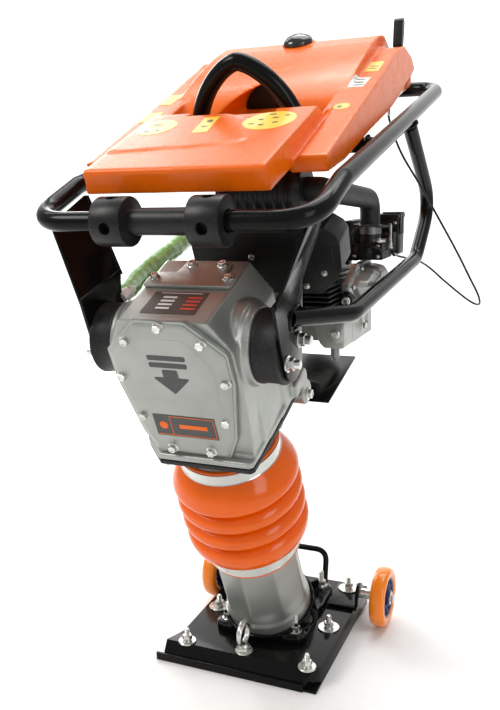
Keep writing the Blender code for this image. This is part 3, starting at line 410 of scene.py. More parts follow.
def spindle(bm, at, axis, profile, sides=24, phase=0.0):
    """Add a capped solid that stands on a point along an axis, from (radius, height) pairs."""
    basis = Vector(axis).normalized().to_track_quat("Z", "Y").to_matrix()
    skin(bm, [[bm.verts.new(Vector(at) + basis @ Vector((u, v, height)))
               for u, v in circle(radius, sides, phase=phase)] for radius, height in profile])


def turned(name, at, axis, profile, sides=32, space=LEG):
    """A solid of its own from one spindle."""
    bm = bmesh.new()
    spindle(bm, at, axis, profile, sides)
    return solid(name, bm, space)


def pipe(path, radius, sides=24, cyclic=False, shape=None):
    """A round bar along the path, without twist; shape(share, angle) may scale its radius."""
    points = [Vector(p) for p in path]
    count = len(points)
    bm = bmesh.new()
    side = None
    rings = []
    for i, point in enumerate(points):
        before = points[i - 1] if cyclic or i else point
        after = points[(i + 1) % count] if cyclic or i < count - 1 else point
        along = (after - before).normalized()
        if side is None:
            side = along.orthogonal()
        side = (side - along * side.dot(along)).normalized()
        other = along.cross(side)
        verts = []
        for k in range(sides):
            angle = 2 * math.pi * k / sides
            reach = radius * (shape(i / (count - 1), angle) if shape else 1.0)
            verts.append(bm.verts.new(point + reach * (math.cos(angle) * side + math.sin(angle) * other)))
        rings.append(verts)
    if not cyclic:
        return skin(bm, rings)
    last, first = rings[-1], rings[0]
    shift = min(range(sides), key=lambda s: (last[0].co - first[s].co).length)
    return skin(bm, rings + [first[shift:] + first[:shift]], caps=False)


def merge(bm, other):
    """Move the other mesh into bm."""
    mesh = bpy.data.meshes.new("merge")
    other.to_mesh(mesh)
    other.free()
    bm.from_mesh(mesh)
    bpy.data.meshes.remove(mesh)
    return bm


# ---------------------------------------------------------------- fasteners

def hex_bolt(bm, at, axis, size=0.0078, turn=0.0):
    """Flanged hexagon head with a chamfer and a dished top."""
    spindle(bm, at, axis, ((1.28 * size, 0.0), (1.28 * size, 0.0011), (1.08 * size, 0.0021)), 28)
    spindle(bm, at, axis, ((size, 0.001), (size, 0.0062), (0.9 * size, 0.0072), (0.62 * size, 0.0072),
                           (0.52 * size, 0.0065)), 6, turn)


def stud_nut(bm, at, axis, washer, nut, stud, height, turn=0.0):
    """Flat washer, split washer, nut and the threaded end of a stud."""
    spindle(bm, at, axis, ((washer, 0.0), (washer, 0.0022), (washer - 0.0006, 0.0027)), 36)
    spindle(bm, at, axis, ((0.86 * nut, 0.0025), (0.86 * nut, 0.005)), 24)
    spindle(bm, at, axis, ((0.92 * nut, 0.0048), (nut, 0.0056), (nut, 0.0124), (0.9 * nut, 0.0134)), 6, turn)
    thread = [(stud, 0.0125)]
    level = 0.0136
    while level < height - 0.002:
        thread += [(stud, level), (0.86 * stud, level + 0.0006)]
        level += 0.0012
    thread += [(0.86 * stud, height - 0.0014), (0.66 * stud, height)]
    spindle(bm, at, axis, thread, 20)


def bolts(name, body, space, places, axis, size=0.0078):
    bm = bmesh.new()
    for at in places:
        hex_bolt(bm, at, axis, size, random.random())
    return piece(name, bm, space, body, "zinc_steel")


# ---------------------------------------------------------------- shoe

def make_shoe():
    lip = (-0.172, 0.118)
    toe = -0.176
    half = 0.1415
    rear = 0.163
    sole = box("sole", (-half, toe - 0.002, 0.0), (half, rear, 0.005))
    carve(sole, [box("lip", (lip[0], -0.181, 0.0), (lip[1], toe, 0.015))], "UNION")
    dress(soften(sole, 0.0012), "foot", "black_paint", "sole_plate")
    flare = -half - 0.016
    outline = ((-half, rear), (-half, -0.125), (flare, -rear), (flare, toe + GAP), (lip[1], toe + GAP),
               (half - 0.01, -rear), (half, -0.145), (half, rear))
    board = solid("board", prism(outline, "z", 0.0053, BOARD_TOP), GROUND)
    slope = ((toe - 0.1, 0.135), (toe - 0.1, 0.015), (toe, 0.015), (-rear, BOARD_TOP + 0.0001), (-rear, 0.135))
    carve(board, [solid("slope", prism(slope, "x", -0.3, 0.3), GROUND)])
    dress(soften(board, 0.0022, 4), "foot", "black_paint", "shoe_board")


def make_foot_flange():
    """Black casting: a waisted plate with four ears, and the cup that holds the leg."""
    low = BOARD_TOP + GAP
    studs = ((0.06, 0.104), (-0.06, 0.104), (-0.068, -0.078), (0.068, -0.078))
    outline = []
    for corner, (x, y) in enumerate(studs):
        for step in range(7):
            angle = math.radians(90 * corner + 15 * step)
            outline.append((x + 0.0225 * math.cos(angle), y + 0.0225 * math.sin(angle)))
    plate = solid("flange", prism(outline, "z", low, low + 0.0125), GROUND)
    waists = []
    for center, radius in (((0.15, 0.012), 0.068), ((-0.15, 0.012), 0.068), ((0.0, -0.15), 0.062)):
        waists.append(solid("waist", prism(circle(radius, 48, center), "z", low - 0.01, low + 0.03), GROUND))
    carve(plate, waists)
    joined = [solid("cup", prism(circle(0.0872, 72), "z", 0.02, 0.09))]
    for x, y in studs:
        joined.append(turned("boss", (x, y, low), Z, ((0.0185, 0.0), (0.0185, 0.0135), (0.0165, 0.0155)), 32, GROUND))
        rib = prism(((-0.004, low), (0.004, low), (0.003, low + 0.034), (-0.003, low + 0.034)), "x", 0.05, 0.112)
        joined.append(solid("rib", rib, Matrix.Rotation(math.atan2(y, x), 4, "Z")))
    carve(plate, joined, "UNION")
    below = box("below", (-0.2, -0.2, -0.1), (0.2, 0.2, low))
    seat = solid("seat", prism(circle(0.0808, 72), "z", 0.0735, 0.2))
    front = box("stud_room", (-0.2, -0.2, low + 0.0156), (0.2, -0.102, 0.2))
    carve(plate, [below, seat, front])
    moulded(plate, 0.0016, 3)
    dress(plate, "foot", "black_paint", "foot_flange")

    bm = bmesh.new()
    for x, y in studs:
        stud_nut(bm, (x, y, low + 0.0154), Z, 0.0125, 0.0098, 0.0052, 0.034, random.random())
    piece("flange_studs", bm, GROUND, "foot", "zinc_steel")
    bm = bmesh.new()
    for x, y in ((0.118, -0.156), (-0.118, -0.156), (0.115, -0.02), (-0.115, -0.02), (0.111, 0.128), (-0.111, 0.128)):
        high = BOARD_TOP + (0.0065 if y > 0.1 else 0.0)
        wide = 0.0165 if y < -0.1 else 0.0205
        stud_nut(bm, (x, y, high), Z, wide, 0.0095, 0.005, 0.026, random.random())
    piece("shoe_bolts", bm, GROUND, "foot", "zinc_steel")


def make_eye_bolt():
    eye = Vector((-0.006, -0.148, 0.071))
    bm = pipe([eye + Vector((0.0, y, z)) for y, z in circle(0.0198, 48)], 0.0052, 16, cyclic=True)
    base = Vector((eye.x, eye.y, BOARD_TOP + GAP))
    spindle(bm, base, Z, ((0.0165, 0.0), (0.0165, 0.0016), (0.016, 0.002)), 32)
    spindle(bm, base, Z, ((0.012, 0.0018), (0.013, 0.0028), (0.013, 0.009), (0.0118, 0.01)), 6, 0.3)
    spindle(bm, base, Z, ((0.0092, 0.0095), (0.008, 0.012), (0.0062, 0.016), (0.006, 0.018)), 24)
    piece("lifting_eye", bm, GROUND, "foot", "zinc_steel", "eye_bolt")


def make_rail():
    low = BOARD_TOP + GAP
    path = rounded_path(((-0.056, 0.138, low), (-0.052, 0.166, 0.1), (0.052, 0.166, 0.1), (0.056, 0.138, low)),
                        0.025)
    bm = pipe(path, 0.006, 20)
    for x in (-0.056, 0.056):
        spindle(bm, (x, 0.138, low), Z, ((0.0095, 0.0), (0.009, 0.0016), (0.0066, 0.0034)), 20)
    piece("rear_rail", bm, GROUND, "foot", "black_paint", "foot_rail")


def make_wheel(name):
    """Spoked hub, moulded tread, axle bolt and the folded bracket on the board's edge."""
    mid = WHEELS[name]
    side = math.copysign(1.0, mid)
    body = "wheel_" + name
    half = 0.015
    profile = ((0.0063, -half), (0.0135, -half), (0.015, -half + 0.0015), (0.0155, -0.0075), (0.019, -0.0055),
               (0.032, -0.0055), (0.0345, -0.007), (0.0365, -0.0118), (0.0395, -0.0124))
    hub = ring(list(profile) + [(r, -h) for r, h in reversed(profile)], "x", (mid, WHEEL_Y, WHEEL_Z), 96)
    hub = bake(solid("hub_" + name, hub, GROUND))
    carve(hub, fanned("rib", (mid - 0.0105, -0.0011, 0.0145), (mid + 0.0105, 0.0011, 0.0355), 12,
                      (0.0, WHEEL_Y, WHEEL_Z), "X"), "UNION")
    dress(hub, body, "blue_plastic", "wheel_hub_" + name)
    tread = [(0.0398, -0.0126), (0.0425, -0.014), (0.047, -0.0148)]
    for i in range(17):
        angle = math.pi * (i / 16 - 0.5)
        tread.append((0.05 + 0.008 * math.cos(angle) ** 0.8 if abs(angle) < 1.57 else 0.05,
                      0.0148 * math.sin(angle)))
    tread += [(0.047, 0.0148), (0.0425, 0.014), (0.0398, 0.0126)]
    tyre = bake(solid("tread_" + name, ring(tread, "x", (mid, WHEEL_Y, WHEEL_Z), 128), GROUND))
    dress(tyre, body, "orange_tyre", "wheel_tyre_" + name)

    low = BOARD_TOP + GAP
    edge = 0.1418
    bm = bmesh.new()
    out = Vector((side, 0.0, 0.0))
    spindle(bm, (side * edge, WHEEL_Y, WHEEL_Z), out,
            ((0.006, 0.0), (0.006, side * mid + half + 0.004 - edge)), 24)
    spindle(bm, (side * (edge + 0.0063), WHEEL_Y, WHEEL_Z), out,
            ((0.01, 0.0), (0.01, max(side * mid - half - 0.0006 - edge - 0.0063, 0.0008))), 28)
    hex_bolt(bm, (mid + side * (half + 0.0008), WHEEL_Y, WHEEL_Z), out, 0.01, 0.2)
    piece("axle_" + name, bm, GROUND, "foot", "zinc_steel", "wheel_axle_" + name)

    bottom = ((0.0985, low), (edge + 0.006, low), (edge + 0.006, low + 0.006), (0.085, low + 0.006))
    plate = solid("bracket_" + name, prism([(side * x, z) for x, z in bottom], "y", WHEEL_Y - 0.03, WHEEL_Y + 0.058),
                  GROUND)
    drop = ((WHEEL_Y - 0.03, low + 0.0059), (WHEEL_Y + 0.058, low + 0.0059), (WHEEL_Y + 0.052, 0.01),
            (WHEEL_Y + 0.03, 0.01))
    ends = sorted((side * edge, side * (edge + 0.006)))
    ear = [(WHEEL_Y + 0.019 * math.cos(math.radians(a)), WHEEL_Z + 0.019 * math.sin(math.radians(a)))
           for a in range(0, 181, 10)] + [(WHEEL_Y - 0.021, low), (WHEEL_Y + 0.021, low)]
    tools = [solid("drop", prism(drop, "x", *ends), GROUND), solid("ear", prism(ear, "x", *ends), GROUND)]
    carve(plate, tools, "UNION")
    dress(soften(plate, 0.001, 3), "foot", "black_paint", "wheel_bracket_" + name)


# ---------------------------------------------------------------- leg

def make_cylinders():
    """Octagonal spring cylinder that runs round at its foot, and the sleeve that slides over it."""
    def facets(radius, height, angle):
        if radius < 0.0715:
            return radius
        share = min(max((height - 0.108) / 0.032, 0.0), 1.0) * (1.0 if height < 0.2515 else 0.0)
        share = share * share * (3 - 2 * share)
        flat = 0.0722 / math.cos((angle % (math.pi / 4)) - math.pi / 8)
        crown = min(flat, 0.0774)
        return radius * (1 - share) + crown * share

    outer = [(0.08, 0.074), (0.0802, 0.0755), (0.0802, 0.102), (0.0796, 0.1075)]
    outer += [(0.0775, 0.108 + 0.0035 * i) for i in range(1, 10)]
    outer += [(0.074, 0.16), (0.074, 0.2), (0.074, 0.251), (0.0804, 0.2522), (0.0804, 0.283),
              (0.0725, 0.283), (0.0725, 0.425)]
    inner = [(0.0145, 0.425), (0.0145, 0.413), (0.062, 0.413), (0.062, 0.082), (0.01, 0.082), (0.01, 0.074)]
    lower = bake(solid("lower_cylinder", ring(outer + inner, count=192, shape=facets)))
    dress(lower, "foot", "cast_aluminium", "spring_cylinder")
    top = CASE_Z0 - 0.0083
    sleeve = ((0.0736, 0.362), (0.0736, top), (0.0925, top), (0.0938, top - 0.0012), (0.0938, top - 0.0088),
              (0.0925, top - 0.01), (0.083, top - 0.0104), (0.0805, top - 0.013), (0.08, top - 0.016),
              (0.08, 0.362))
    piece("upper_cylinder", ring(sleeve, count=128), LEG, "upper", "cast_aluminium", "guide_cylinder")


CUFF_R = 0.0843
CREASE_R = 0.0888
FOLD_R = 0.1092
FOLD_PITCH = 0.0387
FIRST_CREST = 0.318


def make_bellows():
    """Four full round folds between two straight cuffs that stay under their clamps."""
    wall = 0.0032
    steps = 14
    low_seam = 0.279
    high_seam = 0.4742
    outer = [(CUFF_R - 0.0006, 0.252), (CUFF_R + 0.0009, 0.2528), (CUFF_R + 0.001, 0.2552), (CUFF_R, 0.256),
             (CUFF_R, low_seam)]
    for fold in range(4):
        for i in range(1 if fold else 0, steps + 1):
            t = 2 * i / steps - 1
            low_end = fold == 0 and t < 0
            high_end = fold == 3 and t > 0
            root = CUFF_R + 0.0022 if low_end or high_end else CREASE_R
            reach = 0.0365 if low_end else 0.0375 if high_end else FOLD_PITCH / 2
            swell = max(1 - abs(t) ** (1.5 if high_end else 2.2), 0.0) ** (0.85 if high_end else 0.72)
            outer.append((root + (FOLD_R - root) * swell, FIRST_CREST + fold * FOLD_PITCH + t * reach))
    outer += [(CUFF_R, high_seam), (CUFF_R, 0.4975), (CUFF_R + 0.0009, 0.4985), (CUFF_R + 0.0008, 0.5003),
              (CUFF_R - 0.0006, 0.501)]

    def sleeve(name, profile, body):
        inner = [(radius - wall, height) for radius, height in reversed(profile)]
        return piece(name, ring(profile + inner, count=160), LEG, body, "orange_bellows")

    sleeve("bellows_cuff_lower", [point for point in outer if point[1] < low_seam] + [(CUFF_R, low_seam)], "foot")
    sleeve("bellows_cuff_upper", [(CUFF_R, high_seam)] + [point for point in outer if point[1] > high_seam], "upper")
    bellows = sleeve("ribbed_bellows", [point for point in outer if low_seam <= point[1] <= high_seam], "foot")
    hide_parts("bellows")
    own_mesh(bellows)


def make_clamp(name, body, low, turn):
    """Wide band with rolled edges and a worm screw housing."""
    inner = CUFF_R + GAP
    high = low + 0.022
    band = ((inner, low), (inner + 0.0018, low), (inner + 0.0022, low + 0.0008), (inner + 0.0013, low + 0.0022),
            (inner + 0.0012, high - 0.0022), (inner + 0.0022, high - 0.0008), (inner + 0.0018, high), (inner, high))
    bm = ring(band, count=128)
    out = Vector((math.cos(turn), math.sin(turn), 0.0))
    along = Vector((-math.sin(turn), math.cos(turn), 0.0))
    at = out * (inner + 0.006) + Vector((0.0, 0.0, low + 0.011)) - along * 0.014
    spindle(bm, at, along, ((0.0052, 0.0), (0.0058, 0.001), (0.0058, 0.02), (0.005, 0.021)), 16)
    spindle(bm, at + along * 0.0205, along, ((0.0044, 0.0), (0.0044, 0.0052), (0.0036, 0.006)), 6)
    piece(name + "_band", bm, LEG, body, "zinc_steel", name, mat=CLAMP_FINISH)


# ---------------------------------------------------------------- crankcase

FLANGE = ((-0.061, -0.111), (0.09, -0.111), (0.096, -0.105), (0.102, 0.03), (0.102, 0.079), (-0.098, 0.079),
          (-0.098, -0.074))


def cover_outline(grow=0.0):
    right = [(0.059, 0.557), (0.078, 0.598), (0.095, 0.696), (0.095, 0.75), (0.04, 0.801)]
    middle = Vector((0.0, 0.68))
    moved = []
    for x, z in mirrored(right):
        away = Vector((x, z)) - middle
        away = middle + away * (1.0 + grow / away.length)
        moved.append((away.x, away.y))
    return moved


def make_crankcase():
    wide = CASE_HALF_W
    body = ((-0.092, CASE_Z0), (0.092, CASE_Z0), (wide, CASE_Z0 + 0.02), (wide, 0.746), (0.07, CASE_Z1),
            (-0.07, CASE_Z1), (-wide, 0.746), (-wide, CASE_Z0 + 0.02))
    nose = ((-0.061, CASE_Z0), (0.094, CASE_Z0), (wide, 0.64), (wide, 0.746), (0.07, CASE_Z1), (-0.07, CASE_Z1),
            (-0.097, 0.746), (-0.097, 0.692), (-0.078, 0.598))
    case = solid("case", prism(body, "y", CASE_MID, CASE_REAR))
    tools = [solid("nose", prism(nose, "y", CASE_FRONT + 0.0004, CASE_MID + 0.004)),
             solid("foot", prism(FLANGE, "z", CASE_Z0 + GAP, CASE_Z0 + 0.012))]
    for side in (-1, 1):
        boss = ((0.067, 0.0), (0.065, 0.017), (0.0605, 0.0205), (0.059, 0.026), (0.0585, 0.0318))
        tools.append(turned("boss", (side * 0.08, MOUNT_Y, MOUNT_Z), (side, 0, 0), boss, 72))
        bm = bmesh.new()
        spindle(bm, (side * 0.08, 0.1, 0.561), (side, 0, 0),
                ((0.0175, 0.0), (0.0175, 0.03), (0.016, 0.0318)), 40)
        spindle(bm, (side * 0.084, 0.104, 0.529), (side, 0, 0),
                ((0.0205, 0.0), (0.0215, 0.001), (0.0215, 0.0265), (0.02, 0.028)), 48)
        tools.append(solid("lug", bm))
        ends = sorted((side * 0.08, side * 0.1115))
        tools.append(box("arm", (ends[0], 0.06, 0.549), (ends[1], 0.1, 0.574), LEG))
        rib = ((0.03, 0.552), (0.066, 0.552), (0.066, 0.574), (0.04, 0.64), (0.03, 0.64))
        tools.append(solid("rib", prism(rib, "x", *sorted((side * 0.09, side * 0.1035)))))
    bm = ring(((0.048, 0.07), (0.062, 0.07), (0.062, 0.0821), (0.048, 0.0821)), "y", (0.0, 0.0, CLUTCH_Z), 64)
    tools.append(solid("rim", bm))
    carve(case, tools, "UNION")
    room = ((-0.05, 0.556), (0.083, 0.556), (0.09, 0.64), (0.09, 0.742), (0.064, 0.785), (-0.064, 0.785),
            (-0.087, 0.742), (-0.087, 0.694), (-0.067, 0.6))
    window = [(x * 0.8, 0.68 + (z - 0.68) * 0.8) for x, z in cover_outline()]
    cuts = [solid("room", prism(room, "y", CASE_FRONT + 0.008, CASE_REAR - 0.012)),
            solid("mouth", prism(window, "y", CASE_FRONT - 0.01, CASE_FRONT + 0.02)),
            solid("throat", prism(circle(0.047, 48), "z", CASE_Z0 - 0.01, CASE_Z0 + 0.02)),
            solid("shaft", prism(circle(0.0125, 32, (0.0, CLUTCH_Z)), "y", 0.0, 0.2)),
            solid("seat", prism(circle(0.0265, 32, (0.0, 0.622)), "y", 0.04, CASE_REAR - 0.005))]
    carve(case, cuts)
    moulded(case, 0.0022, 4)
    dress(case, "upper", "cast_aluminium", "crankcase")


def make_cover():
    """Front cover: flange, sloping border, raised plate with a plain arrow, and a strip with plain shapes."""
    back = CASE_FRONT - GAP
    cover = solid("cover", prism(rounded(cover_outline(), 0.008), "y", back - 0.0075, back))
    step = rounded(cover_outline(-0.0045), 0.01)
    low = rounded(cover_outline(-0.011), 0.012)
    crown = loft([[(x, y, z) for x, z in points]
                  for points, y in ((step, back - 0.007), (step, back - 0.009), (low, back - 0.0116))])
    carve(cover, [solid("crown", crown)], "UNION")
    dress(soften(cover, 0.001, 3, 25), "upper", "cast_aluminium", "crankcase_cover")
    badge = ((-0.067, 0.6655), (0.067, 0.6655), (0.071, 0.728), (0.035, 0.7735), (-0.035, 0.7735), (-0.071, 0.728))
    face = back - 0.0116
    plate = solid("badge_plate", prism(rounded(badge, 0.004), "y", face - 0.0004, face + 0.0004))
    dress(soften(plate, 0.0003, 2), "upper", "cast_aluminium")

    bm = bmesh.new()
    for level in (0.742, 0.7295):
        merge(bm, prism(rounded(box_outline(0.0, level, 0.03, 0.0042), 0.003), "y", face - 0.0009, face - 0.0002))
    arrow = ((-0.012, 0.7215), (-0.012, 0.7075), (-0.03, 0.7075), (0.0, 0.6785), (0.03, 0.7075), (0.012, 0.7075),
             (0.012, 0.7215))
    merge(bm, prism(rounded(arrow, 0.0022, 3), "y", face - 0.0009, face - 0.0002))
    piece("badge_mark", bm, LEG, "upper", "black_plastic", mat=DECAL_DARK)

    strip = rounded(((-0.051, 0.5965), (0.051, 0.5965), (0.051, 0.637), (-0.051, 0.637)), 0.0015)
    piece("strip", prism(strip, "y", face - 0.0006, face + 0.0004), LEG, "upper", "black_plastic",
          mat=DECAL_DARK)
    bm = bmesh.new()
    for low, high in (((-0.049, 0.5985), (-0.0225, 0.5996)), ((-0.0235, 0.5985), (-0.0225, 0.635)),
                      ((-0.0225, 0.5985), (0.049, 0.5996)), ((0.048, 0.5985), (0.049, 0.635)),
                      ((-0.0225, 0.6339), (0.049, 0.635)), ((-0.01, 0.613), (0.036, 0.6205))):
        merge(bm, block((low[0], face - 0.0009, low[1]), (high[0], face - 0.0003, high[1])))
    merge(bm, prism(circle(0.007, 32, (-0.036, 0.6168)), "y", face - 0.0009, face - 0.0003))
    piece("strip_lines", bm, LEG, "upper", "orange_plastic")
    places = [(0.0, 0.792), (0.059, 0.767), (-0.059, 0.767), (0.083, 0.703), (-0.083, 0.703), (0.0685, 0.631),
              (-0.0685, 0.631), (0.0325, 0.572), (-0.0325, 0.572)]
    bolts("cover_bolts", "upper", LEG, [(x, back - 0.0088, z) for x, z in places[:7]]
          + [(x, back - 0.0112, z) for x, z in places[7:]], FRONT, 0.007)


def make_case_trim():
    """Gasket, top plate with its bolts, data plate without lettering, and the studs under the flange."""
    top = CASE_Z0 - GAP
    gasket = solid("gasket", prism(rounded(FLANGE, 0.006), "z", top - 0.0077, top))
    carve(gasket, [solid("bore", prism(circle(0.0738, 72), "z", top - 0.02, top + 0.02))])
    dress(soften(gasket, 0.0008, 2), "upper", "black_rubber", "bottom_gasket")
    shape = ((-0.07, -0.008), (0.07, -0.008), (0.07, 0.029), (0.048, 0.031), (0.048, 0.062), (-0.026, 0.062),
             (-0.03, 0.031), (-0.07, 0.029))
    lid = solid("lid", prism(rounded(shape, 0.005), "z", CASE_Z1 + GAP, CASE_Z1 + 0.0055))
    dress(soften(lid, 0.0012, 3), "upper", "cast_aluminium", "top_plate")
    places = [(x, y, CASE_Z1 + 0.0054) for x, y in ((-0.059, 0.012), (0.061, 0.012), (-0.013, 0.05), (0.037, 0.05))]
    bolts("lid_bolts", "upper", LEG, places, Z, 0.0066)
    face = CASE_Z1 + 0.0001
    plate = rounded(((-0.043, -0.075), (0.043, -0.075), (0.043, -0.018), (-0.043, -0.018)), 0.0015)
    piece("data_plate", prism(plate, "z", face - 0.0006, face + 0.0005), LEG, "upper", "black_plastic",
          mat=DECAL_DARK)
    pale = bmesh.new()
    warm = bmesh.new()
    for row in range(4):
        y = -0.033 - 0.0095 * row
        merge(pale, block((-0.024, y - 0.0022, face + 0.0003), (-0.002, y + 0.0022, face + 0.0009)))
        merge(warm, block((0.016, y - 0.0022, face + 0.0003), (0.038, y + 0.0022, face + 0.0009)))
    merge(pale, block((-0.032, -0.0225, face + 0.0003), (0.034, -0.0212, face + 0.0008)))
    piece("plate_rows_pale", pale, LEG, "upper", "cast_aluminium", mat=DECAL_PALE)
    piece("plate_rows_warm", warm, LEG, "upper", "orange_plastic", mat=DECAL_RED)
    bm = bmesh.new()
    for x, y in ((0.088, -0.098), (0.094, 0.01), (0.092, 0.068), (-0.088, 0.068), (-0.088, -0.07), (-0.056, -0.1)):
        spindle(bm, (x, y, CASE_Z0 - 0.0082), DOWN, ((0.0072, 0.0), (0.0072, 0.0052), (0.0066, 0.006)), 6, 0.4)
        spindle(bm, (x, y, CASE_Z0 - 0.014), DOWN, ((0.0038, 0.0), (0.0038, 0.0045), (0.003, 0.0052)), 16)
    piece("flange_nuts", bm, LEG, "upper", "zinc_steel")
    bm = bmesh.new()
    hex_bolt(bm, (0.112, 0.104, 0.525), X, 0.0085, 0.3)
    hex_bolt(bm, (-0.112, 0.104, 0.525), (-1, 0, 0), 0.0085, 0.3)
    piece("lug_bolts", bm, LEG, "upper", "zinc_steel")


def make_mounts():
    """Rubber blocks with moulded rims, the side plates on them, and their fixings."""
    for side, name in ((-1, "left"), (1, "right")):
        near = 0.1123
        deep = 0.1497 - near
        rubber = ((0.0535, 0.0), (0.055, 0.0015), (0.055, 0.005), (0.0538, 0.0075), (0.0534, 0.019),
                  (0.0538, 0.03), (0.055, 0.0325), (0.055, deep - 0.0015), (0.0535, deep))
        mount = turned("mount_" + name, (side * near, MOUNT_Y, MOUNT_Z), (side, 0, 0), rubber, 96)
        dress(bake(mount), "upper", "black_rubber", "rubber_mount_" + name)
        make_plate(side, name)
        bm = bmesh.new()
        for y, z in ((-0.049, 0.702), (0.006, 0.706)):
            at = (side * (PLATE_X + 0.005), y, z)
            spindle(bm, at, (side, 0, 0), ((0.0125, 0.0), (0.0125, 0.002), (0.012, 0.0024)), 32)
            spindle(bm, at, (side, 0, 0), ((0.0092, 0.0022), (0.01, 0.003), (0.01, 0.01), (0.009, 0.0108)), 6)
            spindle(bm, at, (side, 0, 0), ((0.0066, 0.0106), (0.007, 0.0112), (0.007, 0.019), (0.0058, 0.02)), 20)
        piece("mount_bolts_" + name, bm, LEG, "handle", "zinc_steel")


def make_plate(side, name):
    thick = 0.005
    x_low = side * PLATE_X
    lower = [(MOUNT_Y + 0.036 * math.cos(math.radians(a)), 0.695 + 0.036 * math.sin(math.radians(a)))
             for a in range(180, 361, 6)] + [(0.04, 0.74), (0.062, 0.786), (-0.056, 0.8), (-0.06, 0.73)]
    plate = solid("side_plate_" + name, prism(lower, "x", *sorted((x_low, x_low + side * thick))))
    top_z = LOOP_KNEE_Z - TUBE_R + 0.003
    bm = bmesh.new()
    verts = []
    for front, rear, out in (((-0.0565, 0.792), (0.0615, 0.778), 0.0), ((-0.004, top_z), (0.098, top_z), 0.047)):
        for y, z in (front, rear):
            for depth in (0.0, thick):
                verts.append(bm.verts.new((x_low + side * (out + depth), y, z)))
    for quad in ((0, 2, 6, 4), (1, 5, 7, 3), (0, 4, 5, 1), (2, 3, 7, 6), (0, 1, 3, 2), (4, 6, 7, 5)):
        bm.faces.new([verts[i] for i in quad])
    fold = [(x_low + side * 0.001, 0.058, 0.776), (x_low + side * 0.024, 0.079, 0.833),
            (x_low + side * 0.0465, 0.095, top_z)]
    tools = [solid("upper", bm), solid("rib", pipe(fold, 0.0042, 12))]
    carve(plate, tools, "UNION")
    dress(soften(plate, 0.0012, 3), "handle", "black_paint", "support_plate_" + name)


# ---------------------------------------------------------------- handle

def side_z(y):
    share = (y - LOOP_KNEE_Y) / (LOOP_REAR_Y - LOOP_KNEE_Y)
    return LOOP_KNEE_Z + share * (LOOP_REAR_Z - LOOP_KNEE_Z)


def make_loop():
    half = [(LOOP_X, LOOP_Y0, LOOP_Z0), (LOOP_X, LOOP_KNEE_Y, LOOP_KNEE_Z), (LOOP_X, LOOP_REAR_Y, LOOP_REAR_Z)]
    start = (0.0, LOOP_Y0, LOOP_Z0)
    corners = [start] + half + [(-x, y, z) for x, y, z in reversed(half)] + [start]
    loop = solid("loop_tube", pipe(rounded_path(corners, 0.066, 12)[:-1], TUBE_R, 40, cyclic=True))
    dress(bake(loop), "handle", "black_paint", "handle_loop")
    bar_z = side_z(BAIL_Y)
    inner = LOOP_X - TUBE_R + 0.004
    bar = pipe(((-inner, BAIL_Y, bar_z), (inner, BAIL_Y, bar_z)), 0.012, 32)
    for side in (-1, 1):
        spindle(bar, (side * (LOOP_X - 0.0165), BAIL_Y, bar_z), (-side, 0, 0),
                ((0.0165, 0.0), (0.016, 0.003), (0.0125, 0.0065)), 32)
    piece("cross_bar", bar, LEG, "handle", "black_paint", "tank_crossbar")


def make_bail():
    feet_z = side_z(BAIL_Y) + 0.01
    arch = [(-BAIL_X, BAIL_Y, feet_z)]
    for step in range(17):
        angle = math.pi / 2 * (step / 8 - 1)
        across = math.copysign(abs(math.sin(angle)) ** BAIL_POINT, angle)
        rise = max(math.cos(angle), 0.0) ** BAIL_POINT
        arch.append((BAIL_X * across, BAIL_Y, BAIL_SPRING_Z + (BAIL_Z - BAIL_SPRING_Z) * rise))
    arch.append((BAIL_X, BAIL_Y, feet_z))
    bail = pipe(smooth_path(arch, 5), 0.0145, 40)
    for side in (-1, 1):
        spindle(bail, (side * BAIL_X, BAIL_Y, feet_z - 0.001), Z,
                ((0.0185, 0.0), (0.0175, 0.003), (0.0148, 0.0062)), 32)
    piece("bail_tube", bail, LEG, "handle", "black_paint", "lifting_bail")


RIGHT_GUARD = ((0.15, -0.003, 0.748), (0.205, 0.115, 0.683), (0.217, 0.5, 0.562), (0.217, 0.668, 0.6))
LEFT_GUARD = ((0.15, -0.01, 0.746), (0.19, 0.16, 0.712), (0.217, 0.52, 0.64), (0.217, 0.65, 0.68))


def make_guard(side, name, route):
    top_y = 0.545
    top = (LOOP_X, top_y, side_z(top_y) - TUBE_R - 0.0158)
    points = [(side * x, y, z) for x, y, z in list(route) + [top]]
    path = rounded_path(points, GUARD_BEND, 14)
    last = path[-1] + (path[-1] - path[-2]).normalized() * 0.0175
    guard = solid("guard_" + name, pipe(path[:-1] + [last], GUARD_R, 36))
    face = side * (PLATE_X + 0.0048)
    ends = sorted((face, side * 0.05))
    carve(guard, [box("weld_face", (ends[0], -0.1, 0.6), (ends[1], 0.1, 0.9), LEG)])
    bm = bmesh.new()
    aim = (Vector(points[1]) - Vector(points[0])).normalized()
    seat = Vector(points[0]) + aim * ((face - points[0][0]) / aim.x)
    end_z = side_z(top_y) - TUBE_R
    around = circle(1.0, 40)
    bead = [seat + Vector((0.0, 0.016 * c / abs(aim.x) ** 0.5, 0.0146 * s)) for c, s in around]
    collar = [Vector((side * LOOP_X + 0.0142 * c, last.y - 0.001 + 0.0155 * s, end_z + 0.0005 + 0.004 * c * c))
              for c, s in around]
    for path, thick in ((bead, 0.003), (collar, 0.0028)):
        merge(bm, pipe(path, thick, 12, cyclic=True, shape=lambda share, angle: 1.0 + 0.16 * math.sin(share * 190)))
    dress(guard, "handle", "black_paint", "guard_tube_" + name)
    piece("guard_weld_" + name, bm, LEG, "handle", "black_paint")


